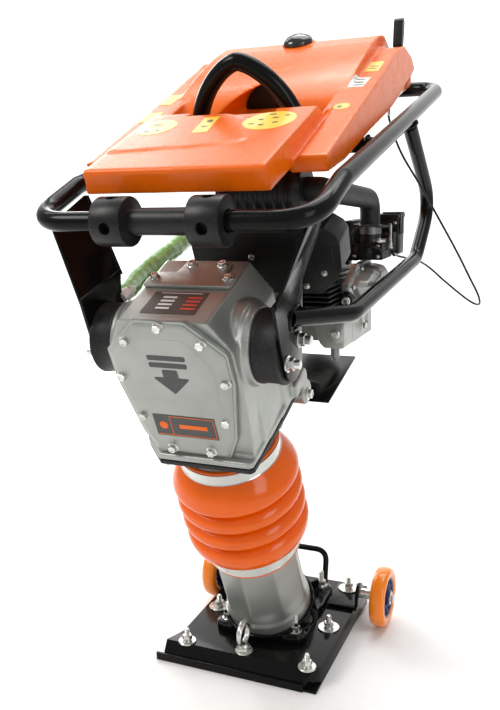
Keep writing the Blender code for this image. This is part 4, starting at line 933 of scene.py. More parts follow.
def make_film():
    """Protective film wound round the left guard tube, creased, with a torn pale end."""
    film_r = 0.0186
    core_r = 0.0137
    route = rounded_path([Vector((-x, y, z)) for x, y, z in LEFT_GUARD], GUARD_BEND, 24)
    marks = [0.0]
    for a, b in zip(route, route[1:]):
        marks.append(marks[-1] + (Vector(b) - Vector(a)).length)

    def along(distance):
        for k in range(1, len(marks)):
            if distance <= marks[k]:
                share = (distance - marks[k - 1]) / (marks[k] - marks[k - 1])
                return Vector(route[k - 1]).lerp(Vector(route[k]), share)
        return Vector(route[-1])

    def creases(share, angle):
        wave = math.sin(angle * 3 + share * 19) + 0.6 * math.sin(angle * 2 - share * 31) + 0.5 * math.sin(share * 83)
        return 1.0 + 0.022 * wave

    first, last = 0.052, 0.385
    path = [along(first + (last - first) * i / 70) for i in range(71)]
    shell = solid("wrap", pipe(path, film_r, 40, shape=creases))
    core = [along(0.03 + 0.39 * i / 60) for i in range(61)]
    carve(shell, [solid("core", pipe(core, core_r, 40))])
    dress(shell, "handle", "green_film", "guard_film")
    tail = [along(first - 0.004 + 0.075 * i / 14) for i in range(15)]

    def torn(share, angle):
        reach = 0.45 + 0.3 * math.sin(angle * 2.0) + 0.15 * math.sin(angle * 3 + 1.0)
        return 1.035 + 0.02 * math.sin(angle * 3 + share * 9) if share < reach else 0.92

    scrap = solid("wrap_end", pipe(tail, film_r, 40, shape=torn))
    carve(scrap, [solid("core", pipe(core, core_r, 40))])
    dress(scrap, "handle", "green_film", mat=DECAL_PALE)


def make_roller():
    bore = TUBE_R + 0.0008
    center = (0.0, LOOP_Y0, LOOP_Z0)
    half = [(0.019, 0.048), (0.0205, 0.0487), (0.0325, 0.0487), (0.0343, 0.0494), (0.035, 0.0512),
            (0.035, 0.0955), (0.0343, 0.0973), (0.0325, 0.098), (bore + 0.0012, 0.098), (bore, 0.0972)]
    spool = [(radius, -x) for radius, x in reversed(half)] + half
    roller = solid("spool", ring(spool, "x", center, 96))
    holes = []
    for x in (-0.0735, 0.0735):
        for tilt in (-10.0, 80.0):
            out = Matrix.Rotation(math.radians(tilt), 3, "X") @ Vector(Z)
            holes.append(turned("hole", (x, LOOP_Y0, LOOP_Z0), out,
                                ((0.0085, 0.02), (0.0085, 0.0336), (0.01, 0.0355), (0.01, 0.05))))
    carve(roller, holes)
    dress(roller, "roller", "black_plastic", "handle_roller")


# ---------------------------------------------------------------- tank

SHOULDER = ((-0.15, 0.0975), (-0.054, 0.105), (0.035, 0.113), (0.068, 0.124), (0.0735, 0.134), (0.062, 0.157),
            (0.05, 0.185), (0.037, 0.217), (0.02, 0.238), (-0.004, 0.25), (-0.15, 0.256))


def make_tank():
    """One moulding: front deck, recess for the lifting bail, barrel behind it and an arm down each side."""
    crest_y = 0.575
    barrel = [(crest_y - 0.237 * math.cos(angle), 0.905 + (CREST_Z - 0.905) * math.sin(angle))
              for angle in [math.radians(5 * i) for i in range(19)]]
    rear = [(0.62, 0.959), (0.655, 0.95), (0.69, 0.915), (0.705, 0.862), (0.69, 0.832), (0.5, 0.862)]
    side = [(0.027, 0.928), (0.027, DECK_Z - 0.0035), (0.0305, DECK_Z), (0.268, DECK_Z - 0.008), (0.281, 0.946),
            (0.285, 0.905)]
    side += barrel + rear + [(0.345, 0.889), (0.286, 0.894), (0.24, 0.914)]
    tank = solid("tank_moulding", prism(side, "x", -DECK_X, DECK_X))
    arm = ((0.117, 0.914), (0.119, 0.939), (0.44, 0.9405), (0.56, 0.9415), (0.59, 0.943), (0.64, 0.93),
           (0.69, 0.896), (0.712, 0.862), (0.722, 0.842), (0.712, 0.833), (0.529, 0.86), (0.349, 0.883),
           (0.199, 0.897))
    tools = [solid("barrel", prism(barrel + rear, "x", -BARREL_X, BARREL_X))]
    for sign in (-1, 1):
        ends = sorted((sign * (DECK_X - 0.006), sign * ARM_X))
        tools.append(solid("arm", prism(arm, "x", *ends)))
    raised = [(max(x, -DECK_X + 0.001), y) for x, y in rounded(SHOULDER, 0.02)]
    lean = Matrix.Translation((0.0, 0.0, DECK_Z)) @ Matrix.Rotation(math.atan2(-0.008, 0.238), 4, "X")
    left = -DECK_X + 0.001
    panel = [(x, y) for x, y in raised if x > -DECK_X + 0.0011] + [(left, 0.256), (left, 0.0975)]
    tools.append(solid("raised", prism(panel, "z", -0.012, 0.003), LEG @ lean))
    carve(tank, tools, "UNION")
    cuts = []
    for sign in (-1, 1):
        edge = ((sign * 0.1395, DECK_Z + 0.004), (sign * 0.1555, DECK_Z + 0.004), (sign * 0.1555, 0.938),
                (sign * 0.144, 0.93))
        cuts.append(solid("deck_edge", prism(edge, "y", 0.0, 0.3)))
        groove = ((sign * 0.141, 0.985), (sign * 0.15, 0.985), (sign * 0.149, 0.928), (sign * 0.144, 0.928))
        cuts.append(solid("groove", prism(groove, "y", 0.0, 0.31)))
        shave = ((sign * (ARM_X + 0.001), 0.868), (sign * (ARM_X - 0.01), 0.85), (sign * (ARM_X - 0.01), 0.8),
                 (sign * 0.215, 0.8), (sign * 0.215, 0.868))
        cuts.append(solid("shave", prism(shave, "y", 0.0, 0.8)))
    flare = ((0.098, 0.0), (0.08, 0.08), (0.067, 0.115), (0.0585, 0.14), (0.052, 0.16), (0.048, 0.18),
             (0.046, 0.2))
    cuts.append(turned("flare", (0.0, 0.25, 0.897), Y, flare, 72))
    cuts.append(box("slot", (0.164, 0.628, 0.88), (0.1855, 0.7, 1.0), LEG))
    carve(tank, cuts)
    carve(tank, [box("recess_floor", (-0.11, 0.28, 0.88), (0.11, 0.45, 0.903), LEG)], "UNION")
    carve(tank, [turned("bail_hole", (x, BAIL_Y, 0.85), Z, ((0.018, 0.0), (0.018, 0.09)), 40)
                 for x in (-BAIL_X, BAIL_X)])
    moulded(tank, 0.0028, 5)
    dress(tank, "handle", "orange_plastic", "fuel_tank")
    # Black disc inside the opening under the barrel: painted shade standing in for the dark depth of the opening.
    opening_shade_disc = turned("opening_shade_disc", (0.0, 0.425, 0.897), Y, ((0.0475, 0.0), (0.0475, 0.02)), 64)
    carve(opening_shade_disc, [box("below", (-0.1, 0.3, 0.8), (0.1, 0.6, 0.8995), LEG)])
    dress(soften(opening_shade_disc, 0.0015), "handle", "black_plastic")
    return tank


def sticker(name, tank, outline, at, mat, turn=0, lift=0.0):
    """A thin film with that outline, laid down onto the moulding at a point of the leg's x-y plane."""
    down = -UP_LEG
    inverse = tank.matrix_world.inverted()
    bm = bmesh.new()
    spin = Matrix.Rotation(math.radians(turn), 2)
    rings = []
    steps = 7
    for level in (0.0004 + lift, -0.0006):
        for step in range(1, steps + 1):
            share = step / steps
            verts = []
            for u, v in outline:
                flat = spin @ Vector((u, v)) * share
                start = LEG @ Vector((at[0] + flat.x, at[1] + flat.y, 1.05))
                found, point, *_ = tank.ray_cast(inverse @ start, inverse.to_3x3() @ down)
                point = tank.matrix_world @ point if found else start + down * 0.1
                verts.append(bm.verts.new(point + UP_LEG * level))
            rings.append(verts)
    skin(bm, rings[:steps] + rings[steps:][::-1])
    piece(name, bm, GROUND, "handle", "orange_plastic", mat=mat)


def make_stickers(tank):
    """Labels kept as plain coloured films with abstract marks."""
    def plate(width, length):
        corners = box_outline(0.0, 0.0, width / 2, length / 2)
        even = []
        for (x0, y0), (x1, y1) in zip(corners, corners[1:] + corners[:1]):
            even += [(x0 + (x1 - x0) * i / 8, y0 + (y1 - y0) * i / 8) for i in range(8)]
        return even

    oval = [(1.02 * x, y) for x, y in circle(0.0405, 48)]
    for name, outline, at, mat, turn in (
            ("round", circle(0.0335, 48), (-0.103, 0.198), DECAL_YELLOW, 0),
            ("middle", plate(0.025, 0.071), (-0.017, 0.199), DECAL_YELLOW, 6),
            ("oval", oval, (0.0835, 0.209), DECAL_YELLOW, 0),
            ("arm_round", circle(0.013, 32), (0.166, 0.307), DECAL_YELLOW, 0),
            ("arm_white", plate(0.026, 0.046), (0.167, 0.416), DECAL_PALE, -4),
            ("arm_yellow", plate(0.024, 0.05), (0.174, 0.494), DECAL_YELLOW, 0),
            ("left_rear", plate(0.028, 0.05), (-0.176, 0.392), DECAL_YELLOW, 0),
            ("left_front", plate(0.028, 0.044), (-0.174, 0.307), DECAL_YELLOW, 0)):
        sticker("label_" + name, tank, outline, at, mat, turn)
    marks = [(-0.112, 0.181, 0.01, 0.0055), (-0.094, 0.183, 0.007, 0.0065), (-0.108, 0.205, 0.026, 0.003),
             (-0.108, 0.211, 0.02, 0.0026), (0.058, 0.196, 0.01, 0.005), (0.076, 0.19, 0.009, 0.006),
             (0.096, 0.198, 0.01, 0.005), (0.068, 0.214, 0.009, 0.006), (0.09, 0.219, 0.011, 0.005),
             (0.106, 0.228, 0.008, 0.005), (0.08, 0.236, 0.012, 0.005), (0.163, 0.305, 0.008, 0.009),
             (0.168, 0.402, 0.018, 0.004), (0.1665, 0.415, 0.018, 0.006), (0.1655, 0.429, 0.018, 0.004),
             (0.174, 0.483, 0.014, 0.004), (0.174, 0.495, 0.014, 0.004), (-0.017, 0.214, 0.01, 0.011),
             (-0.016, 0.19, 0.012, 0.0045)]
    for i, (x, y, wide, deep) in enumerate(marks):
        blob = [(wide / 2 * u, deep / 2 * v) for u, v in circle(1.0, 16)]
        sticker("label_mark_%02d" % i, tank, blob, (x, y), DECAL_DARK, lift=0.0003)


def make_cap_and_controls():
    cap_z = CREST_Z + 0.0008
    bm = bmesh.new()
    at = (0.0, CAP_Y, cap_z - 0.0012)
    spindle(bm, at, Z, ((CAP_R - 0.001, 0.0), (CAP_R + 0.0002, 0.0012), (CAP_R + 0.0002, 0.0052),
                                (CAP_R - 0.0012, 0.008), (CAP_R - 0.005, 0.0116), (CAP_R - 0.011, 0.0148),
                                (CAP_R - 0.0185, 0.017), (0.004, 0.0181)), 64)
    spindle(bm, (0.0, CAP_Y, cap_z - 0.01), Z, ((0.0176, 0.0), (0.0176, 0.012)), 40)
    piece("cap_dome", bm, LEG, "cap", "black_plastic", "fuel_cap", mat=CAP_FINISH)
    ring_z = CREST_Z - 0.0022
    lip = ring(((CAP_R - 0.006, ring_z - 0.012), (CAP_R + 0.0055, ring_z - 0.012), (CAP_R + 0.005, ring_z + 0.0006),
                (CAP_R + 0.003, ring_z + 0.002), (CAP_R - 0.006, ring_z + 0.002)), "z", (0.0, CAP_Y, 0.0), 64)
    piece("filler_lip", lip, LEG, "handle", "orange_plastic")

    lever = turned("lever", (0.168, 0.648, 0.893), X,
                   ((0.0082, 0.0), (0.009, 0.0008), (0.009, 0.0112), (0.0082, 0.012)))
    stem = ((0.642, 0.895), (0.654, 0.89), (0.684, 0.923), (0.675, 0.93))
    grip = ((0.668, 0.924), (0.68, 0.9155), (0.7, 0.94), (0.7095, 0.9555), (0.708, 0.9625), (0.701, 0.966),
            (0.694, 0.9635), (0.685, 0.95))
    knob = soften(solid("grip", prism(rounded(grip, 0.004), "x", 0.1655, 0.1825)), 0.0048, 5)
    carve(lever, [solid("stem", prism(stem, "x", 0.17, 0.178)), knob], "UNION")
    dress(lever, "throttle", "black_plastic", "throttle_lever")
    shield = box("lever_liner", (0.161, 0.622, 0.893), (0.187, 0.706, 0.899), LEG)
    carve(shield, [box("gap", (0.1645, 0.63, 0.88), (0.1838, 0.698, 0.91), LEG)])
    dress(soften(shield, 0.0008, 2), "handle", "black_plastic")
    valve = turned("tap", (0.06, 0.36, 0.868), Z,
                   ((0.0082, 0.0), (0.009, 0.001), (0.009, 0.015), (0.008, 0.016)))
    tab = soften(box("tab", (0.032, 0.356, 0.868), (0.06, 0.364, 0.873), LEG), 0.0015)
    carve(valve, [tab], "UNION")
    dress(valve, "valve", "black_plastic", "fuel_valve")


def make_cable():
    """Outer cable of the throttle; it is stiff and keeps its own loop beside the machine."""
    places = [LEG @ Vector(p) for p in CABLE]
    line = bpy.data.curves.new("throttle_cable_outer", "CURVE")
    line.dimensions = "3D"
    line.resolution_u = 10
    line.bevel_depth = CABLE_D / 2
    line.bevel_resolution = 5
    line.use_fill_caps = True
    spline = line.splines.new("BEZIER")
    spline.bezier_points.add(len(places) - 1)
    for i, (knot, place) in enumerate(zip(spline.bezier_points, places)):
        before = places[max(i - 1, 0)]
        after = places[min(i + 1, len(places) - 1)]
        reach = (after - before) / 6 if 0 < i < len(places) - 1 else (after - before) / 3
        knot.handle_left_type = "FREE"
        knot.handle_right_type = "FREE"
        knot.co = place
        knot.handle_left = place - reach
        knot.handle_right = place + reach
    cable = bpy.data.objects.new("throttle_cable_outer", line)
    bpy.context.scene.collection.objects.link(cable)
    line.materials.append(M["black_plastic"])
    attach(cable, "handle")
    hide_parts("throttle_cable")
    ends = bmesh.new()
    for a, b in ((places[0], places[1]), (places[-1], places[-2])):
        along = (b - a).normalized()
        spindle(ends, a + along * 0.004, along, ((0.003, 0.0), (0.0036, 0.0008), (0.0036, 0.01), (0.0032, 0.012),
                                                 (0.0032, 0.018), (0.0028, 0.019)), 20)
    ferrules = piece("cable_ferrules", ends, GROUND, "handle", "zinc_steel")


# ---------------------------------------------------------------- engine

HEAD_X = 0.1355
CARB_X = 0.19
STARTER_Z = 0.66
ENGINE_FRONT = -0.078


def screws(name, body, places, axis, size=0.0042, space=GROUND):
    """Round pan heads."""
    heads = bmesh.new()
    for at in places:
        spindle(heads, at, axis, ((size, 0.0), (size, 0.001), (0.88 * size, 0.0022), (0.45 * size, 0.003)), 24)
    return piece(name, heads, space, body, "zinc_steel")


def make_block():
    low = 0.593
    body = box("block", (-0.095, -0.02, low), (0.163, 0.105, 0.639))
    tools = [box("rear", (-0.095, ENGINE_FRONT, low), (0.06, 0.215, 0.639)),
             box("upper", (-0.09, ENGINE_FRONT, 0.63), (0.02, 0.19, 0.722))]
    front = ((0.11, 0.639), (0.119, 0.602), (0.128, low), (0.163, low), (0.163, 0.639))
    tools.append(solid("front", prism(rounded(front, 0.004), "y", ENGINE_FRONT, 0.0), GROUND))
    for at, axis, profile in (((-0.08, -0.06, low), Z, ((0.0135, 0.0), (0.0135, 0.046))),
                              ((-0.08, 0.195, low), Z, ((0.0135, 0.0), (0.0135, 0.046))),
                              ((0.148, 0.095, low), Z, ((0.015, 0.0), (0.015, 0.046))),
                              ((0.149, ENGINE_FRONT + 0.01, 0.6185), FRONT, ((0.0125, 0.0), (0.012, 0.0125))),
                              ((0.15, 0.03, 0.616), X, ((0.013, 0.0), (0.013, 0.0155))),
                              ((0.0, 0.21, 0.66), Y, ((0.06, 0.0), (0.06, 0.004)))):
        tools.append(turned("boss", at, axis, profile, 48, GROUND))
    carve(body, tools, "UNION")
    carve(body, [turned("port", (0.158, 0.068, 0.622), X, ((0.0105, 0.0), (0.0105, 0.02)), 32, GROUND),
                 box("groove", (0.161, -0.03, 0.598), (0.166, -0.0275, 0.64))])
    moulded(body, 0.0022, 3)
    dress(body, "upper", "cast_aluminium", "engine_block")
    bolts("sump_bolts", "upper", GROUND, [(0.149, ENGINE_FRONT - 0.0024, 0.6185)], FRONT, 0.006)
    bolts("side_bolts", "upper", GROUND, [(0.1655, 0.03, 0.616)], X, 0.006)
    drain = bmesh.new()
    spindle(drain, (0.139, -0.05, low + 0.001), DOWN, ((0.0095, 0.0), (0.0095, 0.0035), (0.008, 0.0045),
                                                              (0.008, 0.02), (0.007, 0.022)), 32)
    spindle(drain, (0.139, -0.05, low - 0.02), DOWN, ((0.0055, 0.0), (0.0055, 0.0055), (0.0048, 0.0062)), 6)
    piece("oil_sensor", drain, GROUND, "upper", "zinc_steel", mat=BAND_FINISH)

    fins = [(0.06, 0.6403)]
    for i in range(9):
        low = 0.644 + i * 0.0085
        fins += [(0.06, low), (HEAD_X - GAP, low), (HEAD_X - GAP, low + 0.0026), (0.06, low + 0.0026)]
    fins += [(0.06, 0.7215), (0.0203, 0.7215), (0.0203, 0.6403)]
    cylinder = solid("fins", prism(fins, "y", ENGINE_FRONT + 0.006, 0.11), GROUND)
    dress(soften(cylinder, 0.0006, 2), "upper", "black_plastic", "engine_cylinder")


def make_valve_cover():
    """Smooth cover with a jointed flange, two bolt ears and a raised rib down its face."""
    flange = ((-0.002, 0.686), (0.006, 0.697), (0.05, 0.7125), (0.1, 0.722), (0.152, 0.722), (0.19, 0.698),
              (0.195, 0.66), (0.18, 0.646), (0.048, 0.646), (0.012, 0.672))
    cover = solid("rocker_cover", prism(rounded(flange, 0.008), "x", HEAD_X, HEAD_X + 0.0125), GROUND)
    dome = loft([[(x, 0.102 + (y - 0.102) * shrink, 0.684 + (z - 0.684) * shrink)
                  for y, z in rounded(flange, 0.016)]
                 for x, shrink in ((HEAD_X + 0.004, 0.86), (0.16, 0.84), (0.176, 0.76), (0.185, 0.58))])
    tools = [solid("dome", dome, GROUND)]
    ears = ((0.005, 0.687), (0.058, 0.7135), (0.176, 0.7), (0.052, 0.652))
    for y, z in ears:
        tools.append(turned("ear", (HEAD_X, y, z), X, ((0.01, 0.0), (0.01, 0.0145), (0.009, 0.016)), 32, GROUND))
    rib = ((0.084, 0.656), (0.098, 0.656), (0.088, 0.712), (0.074, 0.712))
    tools.append(solid("rib", prism(rib, "x", HEAD_X + 0.01, 0.1865), GROUND))
    carve(cover, tools, "UNION")
    moulded(cover, 0.0018, 5)
    dress(cover, "upper", "cast_aluminium", "valve_cover")
    bolts("cover_screws", "upper", GROUND, [(HEAD_X + 0.0155, y, z) for y, z in ears], X, 0.0052)
    lug = turned("head_lug", (0.145, -0.006, 0.664), FRONT, ((0.012, -0.02), (0.012, 0.0), (0.011, 0.0012)), 32,
                 GROUND)
    dress(bake(lug), "upper", "black_plastic")
    bolts("head_bolt", "upper", GROUND, [(0.145, -0.007, 0.664)], FRONT, 0.0066)


def make_shroud():
    shape = ((-0.06, 0.7), (0.15, 0.7), (0.174, 0.722), (0.188, 0.745), (0.19, 0.792), (0.184, 0.804),
             (0.168, 0.815), (-0.06, 0.815))
    shroud = solid("fan_shroud", prism(rounded(shape, 0.01), "y", 0.14, 0.193))
    panel = ((0.118, 0.71), (0.148, 0.71), (0.166, 0.728), (0.177, 0.748), (0.178, 0.788), (0.164, 0.802),
             (0.118, 0.802))
    raised = solid("panel", prism(rounded(panel, 0.008), "y", 0.1376, 0.15))
    carve(shroud, [raised], "UNION")
    carve(shroud, [turned("notch", (0.0, 0.1, CLUTCH_Z), Y, ((0.059, 0.0), (0.059, 0.12)), 64)])
    dress(soften(shroud, 0.0045, 4, 30), "upper", "black_plastic", "engine_shroud")
    screws("shroud_screws", "upper", [(0.042, 0.14, 0.765), (0.128, 0.1376, 0.716), (0.16, 0.1376, 0.74)],
           FRONT, 0.0055, LEG)

    bell = [(0.046, CASE_REAR + 0.0073), (0.058, CASE_REAR + 0.0073), (0.058, 0.26), (0.046, 0.26)]
    housing = solid("bell", ring(bell, "y", (0.0, 0.0, CLUTCH_Z), 96))
    ribs = fanned("rib", (-0.0015, CASE_REAR + 0.008, 0.056), (0.0015, 0.125, 0.062), 10, (0.0, 0.0, CLUTCH_Z), "Y",
                  LEG)
    lip = ring(((0.0553, 0.0829), (0.0655, 0.0829), (0.0655, 0.089), (0.0553, 0.089)), "y", (0.0, 0.0, CLUTCH_Z), 96)
    carve(housing, [box("rear", (-0.2, ENGINE_FRONT - GAP, 0.3), (0.2, 0.5, 1.0))])
    carve(housing, ribs + [solid("lip", lip)], "UNION")
    dress(soften(housing, 0.0006, 2), "upper", "cast_aluminium", "clutch_housing")


def make_intake():
    """Carburettor, the box and bracket beside it, the air hose with its band, and the filter."""
    body = box("carb", (0.124, 0.089, 0.726), (0.186, 0.164, 0.757))
    tools = []
    for at, axis, profile in (
            ((0.158, 0.108, 0.75), Z, ((0.0205, 0.0), (0.0205, 0.02), (0.0185, 0.0245))),
            ((0.15, 0.148, 0.7235), Z, ((0.015, 0.0), (0.0175, 0.004), (0.0175, 0.05))),
            ((0.15, 0.085, 0.742), Y, ((0.0115, 0.0), (0.0135, 0.002), (0.0135, 0.083))),
            ((0.17, 0.126, 0.752), X, ((0.012, 0.0), (0.012, 0.0175), (0.0105, 0.0195)))):
        tools.append(turned("turned", at, axis, profile, 32, GROUND))
    carve(body, tools, "UNION")
    moulded(body, 0.0018, 3)
    dress(body, "upper", "black_plastic", "carburettor")
    screws("carb_screws", "upper", [(0.134, 0.0885, 0.733), (0.178, 0.0885, 0.733), (0.178, 0.0885, 0.7515)],
           FRONT, 0.0036)

    guide = box("intake_block", (0.088, 0.098, 0.7245), (0.146, 0.176, 0.79))
    carve(guide, [box("rim", (0.11, 0.094, 0.742), (0.128, 0.18, 0.797)),
                  box("step", (0.094, 0.09, 0.7245), (0.14, 0.186, 0.733))], "UNION")
    dress(soften(guide, 0.0022, 3), "upper", "black_plastic")
    screws("intake_screws", "upper", [(0.101, 0.0975, 0.752), (0.137, 0.0975, 0.752), (0.101, 0.0975, 0.78)],
           FRONT, 0.004)
    case = box("air_box", (0.146, 0.184, 0.728), (0.1925, 0.234, 0.803))
    tools = [box("box_lid", (0.142, 0.18, 0.797), (0.1945, 0.238, 0.8045)),
             box("box_step", (0.16, 0.16, 0.736), (0.19, 0.19, 0.772))]
    for at, axis, profile in (((0.176, 0.162, 0.758), FRONT, ((0.012, 0.0), (0.012, 0.009), (0.01, 0.011))),
                              ((0.156, 0.186, 0.782), FRONT, ((0.0095, 0.0), (0.0095, 0.015)))):
        tools.append(turned("knob", at, axis, profile, 32, GROUND))
    carve(case, tools, "UNION")
    dress(soften(case, 0.0026, 3), "upper", "black_plastic")
    screws("box_screws", "upper", [(0.155, 0.1835, 0.762), (0.187, 0.1835, 0.788)], FRONT, 0.0036)
    screws("step_screws", "upper", [(0.166, 0.1595, 0.743), (0.186, 0.1595, 0.743)], FRONT, 0.0034)
    bracket = ((0.16, 0.805), (0.1935, 0.805), (0.1935, 0.765), (0.1955, 0.765), (0.1955, 0.8065),
               (0.194, 0.808), (0.16, 0.808))
    plate = solid("box_bracket", prism(bracket, "y", 0.192, 0.226), GROUND)
    dress(soften(plate, 0.0012, 3), "upper", "black_paint")
    loops = bmesh.new()
    for route in (((0.152, 0.094, 0.748), (0.166, 0.078, 0.752), (0.18, 0.08, 0.748), (0.186, 0.096, 0.742),
                   (0.184, 0.164, 0.744)),
                  ((0.14, 0.092, 0.752), (0.134, 0.07, 0.762), (0.142, 0.062, 0.782), (0.16, 0.072, 0.79),
                   (0.18, 0.11, 0.786), (0.184, 0.19, 0.782))):
        merge(loops, pipe(smooth_path(route, 8), 0.0026, 14))
    piece("carb_hoses", loops, GROUND, "upper", "black_rubber")
    wheel = ring(((0.004, -0.0022), (0.0135, -0.0022), (0.0135, -0.0012), (0.0118, 0.0), (0.0135, 0.0012),
                  (0.0135, 0.0022), (0.004, 0.0022)), "z", (0.176, 0.0985, 0.761), 48)
    spindle(wheel, (0.176, 0.0985, 0.757), Z, ((0.0042, 0.0), (0.0042, 0.008), (0.0034, 0.0088)), 6)
    piece("throttle_pulley", wheel, GROUND, "upper", "zinc_steel")

    hose = rounded_path(((0.1385, 0.176, 0.862), (0.158, 0.176, 0.862), (0.158, 0.436, 0.7213),
                         (0.158, 0.412, 0.6668)), 0.036, 16)
    piece("air_hose", pipe(hose, 0.0185, 40), LEG, "upper", "black_rubber", "intake_elbow")
    end = hose[-1]
    along = (hose[-2] - end).normalized()
    bm = bmesh.new()
    spindle(bm, end - along * 0.004, along, ((0.0195, 0.0), (0.0205, 0.0006), (0.0205, 0.0165), (0.0195, 0.0172)), 48)
    for k in range(4):
        spindle(bm, end + along * (-0.0026 + 0.0042 * k), along, ((0.0207, 0.0), (0.021, 0.0004), (0.021, 0.0018),
                                                                  (0.0207, 0.0022)), 48)
    piece("hose_band", bm, LEG, "upper", "zinc_steel", mat=BAND_FINISH)
    spigot = ((0.0175, 0.0), (0.0195, 0.002), (0.0195, 0.006), (0.0178, 0.0085), (0.0178, 0.015))
    dress(bake(turned("hose_spigot", end - along * 0.018, along, spigot, 40)), "upper", "black_plastic")

    center = (0.0, 0.176, 0.862)
    ribs = [(0.012, 0.004), (0.039, 0.004)]
    for i in range(8):
        x = 0.008 + 0.016 * i
        ribs += [(0.04, x), (0.0428, x + 0.0025), (0.043, x + 0.0085), (0.04, x + 0.011)]
    ribs += [(0.036, 0.138), (0.012, 0.138)]
    piece("filter_case", ring(ribs, "x", center, 96), LEG, "upper", "black_plastic", "air_filter")

    low = CARB_X + GAP
    hub = ((0.0066, 0.0), (0.007, 0.0004), (0.007, 0.0036), (0.0064, 0.004))
    lever = turned("choke", (low, 0.125, 0.752), X, hub, 28, GROUND)
    stick = ((0.1215, 0.752), (0.1285, 0.752), (0.1292, 0.783), (0.127, 0.79), (0.1228, 0.79), (0.1205, 0.783))
    carve(lever, [solid("stick", prism(rounded(stick, 0.0015), "x", low + 0.0008, low + 0.0034), GROUND)], "UNION")
    dress(lever, "choke", "zinc_steel", "choke_lever")


def make_starter():
    profile = ((0.012, 0.2155), (0.078, 0.2155), (0.086, 0.223), (0.0855, 0.233), (0.08, 0.252), (0.074, 0.259),
               (0.03, 0.262), (0.012, 0.262))
    housing = solid("recoil", ring(profile, "y", (0.0, 0.0, STARTER_Z), 96), GROUND)
    carve(housing, fanned("vent", (-0.003, 0.2, 0.04), (0.003, 0.27, 0.068), 16, (0.0, 0.0, STARTER_Z), "Y"))
    dress(soften(housing, 0.0012, 3), "upper", "black_plastic", "starter_housing")
    grip = soften(box("pull", (0.03, 0.266, 0.696), (0.074, 0.286, 0.71)), 0.0045, 4)
    carve(grip, [turned("rope", (0.052, 0.264, 0.703), Y, ((0.0022, 0.0), (0.0022, 0.004)), 16, GROUND)], "UNION")
    dress(grip, "starter_pull", "black_plastic", "starter_grip")
    places = [(0.068 * math.cos(a), 0.256, STARTER_Z + 0.068 * math.sin(a)) for a in (0.3, 1.87, 3.44, 5.01)]
    screws("starter_screws", "upper", places, Y, 0.0048)


def make_muffler():
    can = soften(box("can", (-0.178, -0.02, 0.628), (-0.1153, 0.15, 0.716)), 0.012, 6)
    pipe_in = box("flange", (-0.125, 0.04, 0.655), (-0.0903, 0.09, 0.695))
    tail = ((0.012, 0.0), (0.012, 0.026), (0.0105, 0.0265))
    carve(can, [pipe_in, turned("tail", (-0.155, 0.14, 0.65), Y, tail, 32, GROUND)], "UNION")
    carve(can, [box("louvre", (-0.181, y, 0.644), (-0.175, y + 0.008, 0.702))
                for y in [0.005 + 0.018 * i for i in range(7)]])
    dress(soften(can, 0.001, 2), "upper", "muffler_black", "muffler")


def make_skid():
    slab = ((0.174, 0.448), (0.355, 0.418), (0.356, 0.4222), (0.175, 0.4522))
    plate = solid("skid", prism(slab, "x", -0.118, 0.118))
    arms = []
    for side in (-1, 1):
        ends = sorted((side * 0.08, side * 0.085))
        arm = ((0.078, 0.52), (0.106, 0.52), (0.18, 0.4495), (0.24, 0.4395), (0.106, 0.56), (0.078, 0.56))
        arms.append(solid("arm", prism(rounded(arm, 0.006), "x", *ends)))
    carve(plate, arms, "UNION")
    dress(soften(plate, 0.001, 3), "upper", "black_paint", "skid_plate")


def show_internals():
    """The drive train inside the closed castings is shown as the frame has it."""
    for name in ("lower_spring", "upper_spring", "crank_gear", "crank_bearing", "pinion_shaft", "clutch_drum",
                 "connecting_rod", "ram_rod", "spring_piston"):
        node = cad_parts[name]
        node.data.materials.clear()
        node.data.materials.append(M["zinc_steel"])


# ---------------------------------------------------------------- studio

def make_lamp(name, place, target, size, power, tint=(1.0, 1.0, 1.0)):
    data = bpy.data.lights.new(name, "AREA")
    data.shape = "RECTANGLE"
    data.size, data.size_y = size
    data.energy = power
    data.color = tint
    lamp = bpy.data.objects.new(name, data)
    lamp.location = place
    lamp.rotation_euler = (Vector(target) - Vector(place)).to_track_quat("-Z", "Y").to_euler()
    bpy.context.scene.collection.objects.link(lamp)


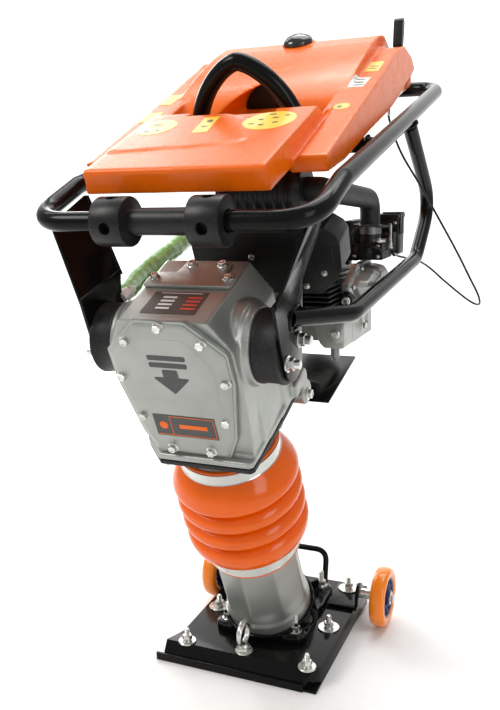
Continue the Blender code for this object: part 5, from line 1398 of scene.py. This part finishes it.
def make_studio():
    """White sweep that faces the camera, lit by its own wash, and soft lamps round the machine."""
    curve = [math.radians(7.5 * i) for i in range(13)]
    sweep = [(4.0 + 2.0 * math.sin(angle), 2.0 - 2.0 * math.cos(angle)) for angle in curve]
    line = [(-5.0, 0.0)] + sweep + [(6.0, 7.0), (6.05, 7.0), (6.05, -0.05), (-5.0, -0.05)]
    bpy.context.scene.view_settings.view_transform = "Standard"
    turn = Matrix.Rotation(math.radians(23.0), 4, "Z")
    floor = bake(solid("backdrop", prism(line, "x", -7.0, 7.0), turn))
    floor.data.materials.append(FLOOR_FINISH)

    world = bpy.data.worlds.new("studio")
    bpy.context.scene.world = world
    world.use_nodes = True
    background = world.node_tree.nodes["Background"]
    background.inputs["Color"].default_value = (1.0, 1.0, 1.0, 1.0)
    background.inputs["Strength"].default_value = 0.5
    make_lamp("wash", turn @ Vector((0.0, 2.6, 5.2)), turn @ Vector((0.0, 5.9, 2.0)), (9.0, 1.0), 420.0)
    middle = (0.0, 0.05, 0.55)
    make_lamp("key", (-2.4, -2.2, 3.4), middle, (1.6, 1.6), 80.0, (1.0, 0.985, 0.96))
    make_lamp("fill", (2.8, -1.9, 1.7), middle, (1.2, 2.2), 26.0, (0.97, 0.985, 1.0))
    make_lamp("top", (0.2, 0.8, 3.6), middle, (2.4, 1.6), 46.0)
    make_lamp("rim", (-2.2, 2.0, 1.6), middle, (1.0, 2.4), 36.0)


def main():
    make_camera()
    make_cable()
    make_shoe()
    make_foot_flange()
    make_eye_bolt()
    make_rail()
    for name in WHEELS:
        make_wheel(name)
    make_cylinders()
    make_bellows()
    make_clamp("lower_clamp", "foot", 0.257, math.radians(200))
    make_clamp("upper_clamp", "upper", 0.475, math.radians(200))
    make_crankcase()
    make_cover()
    make_case_trim()
    make_mounts()
    make_loop()
    make_bail()
    make_guard(1, "right", RIGHT_GUARD)
    make_guard(-1, "left", LEFT_GUARD)
    make_film()
    make_roller()
    tank = make_tank()
    make_stickers(tank)
    make_cap_and_controls()
    make_block()
    make_valve_cover()
    make_shroud()
    make_intake()
    make_starter()
    make_muffler()
    make_skid()
    show_internals()
    make_studio()


main()
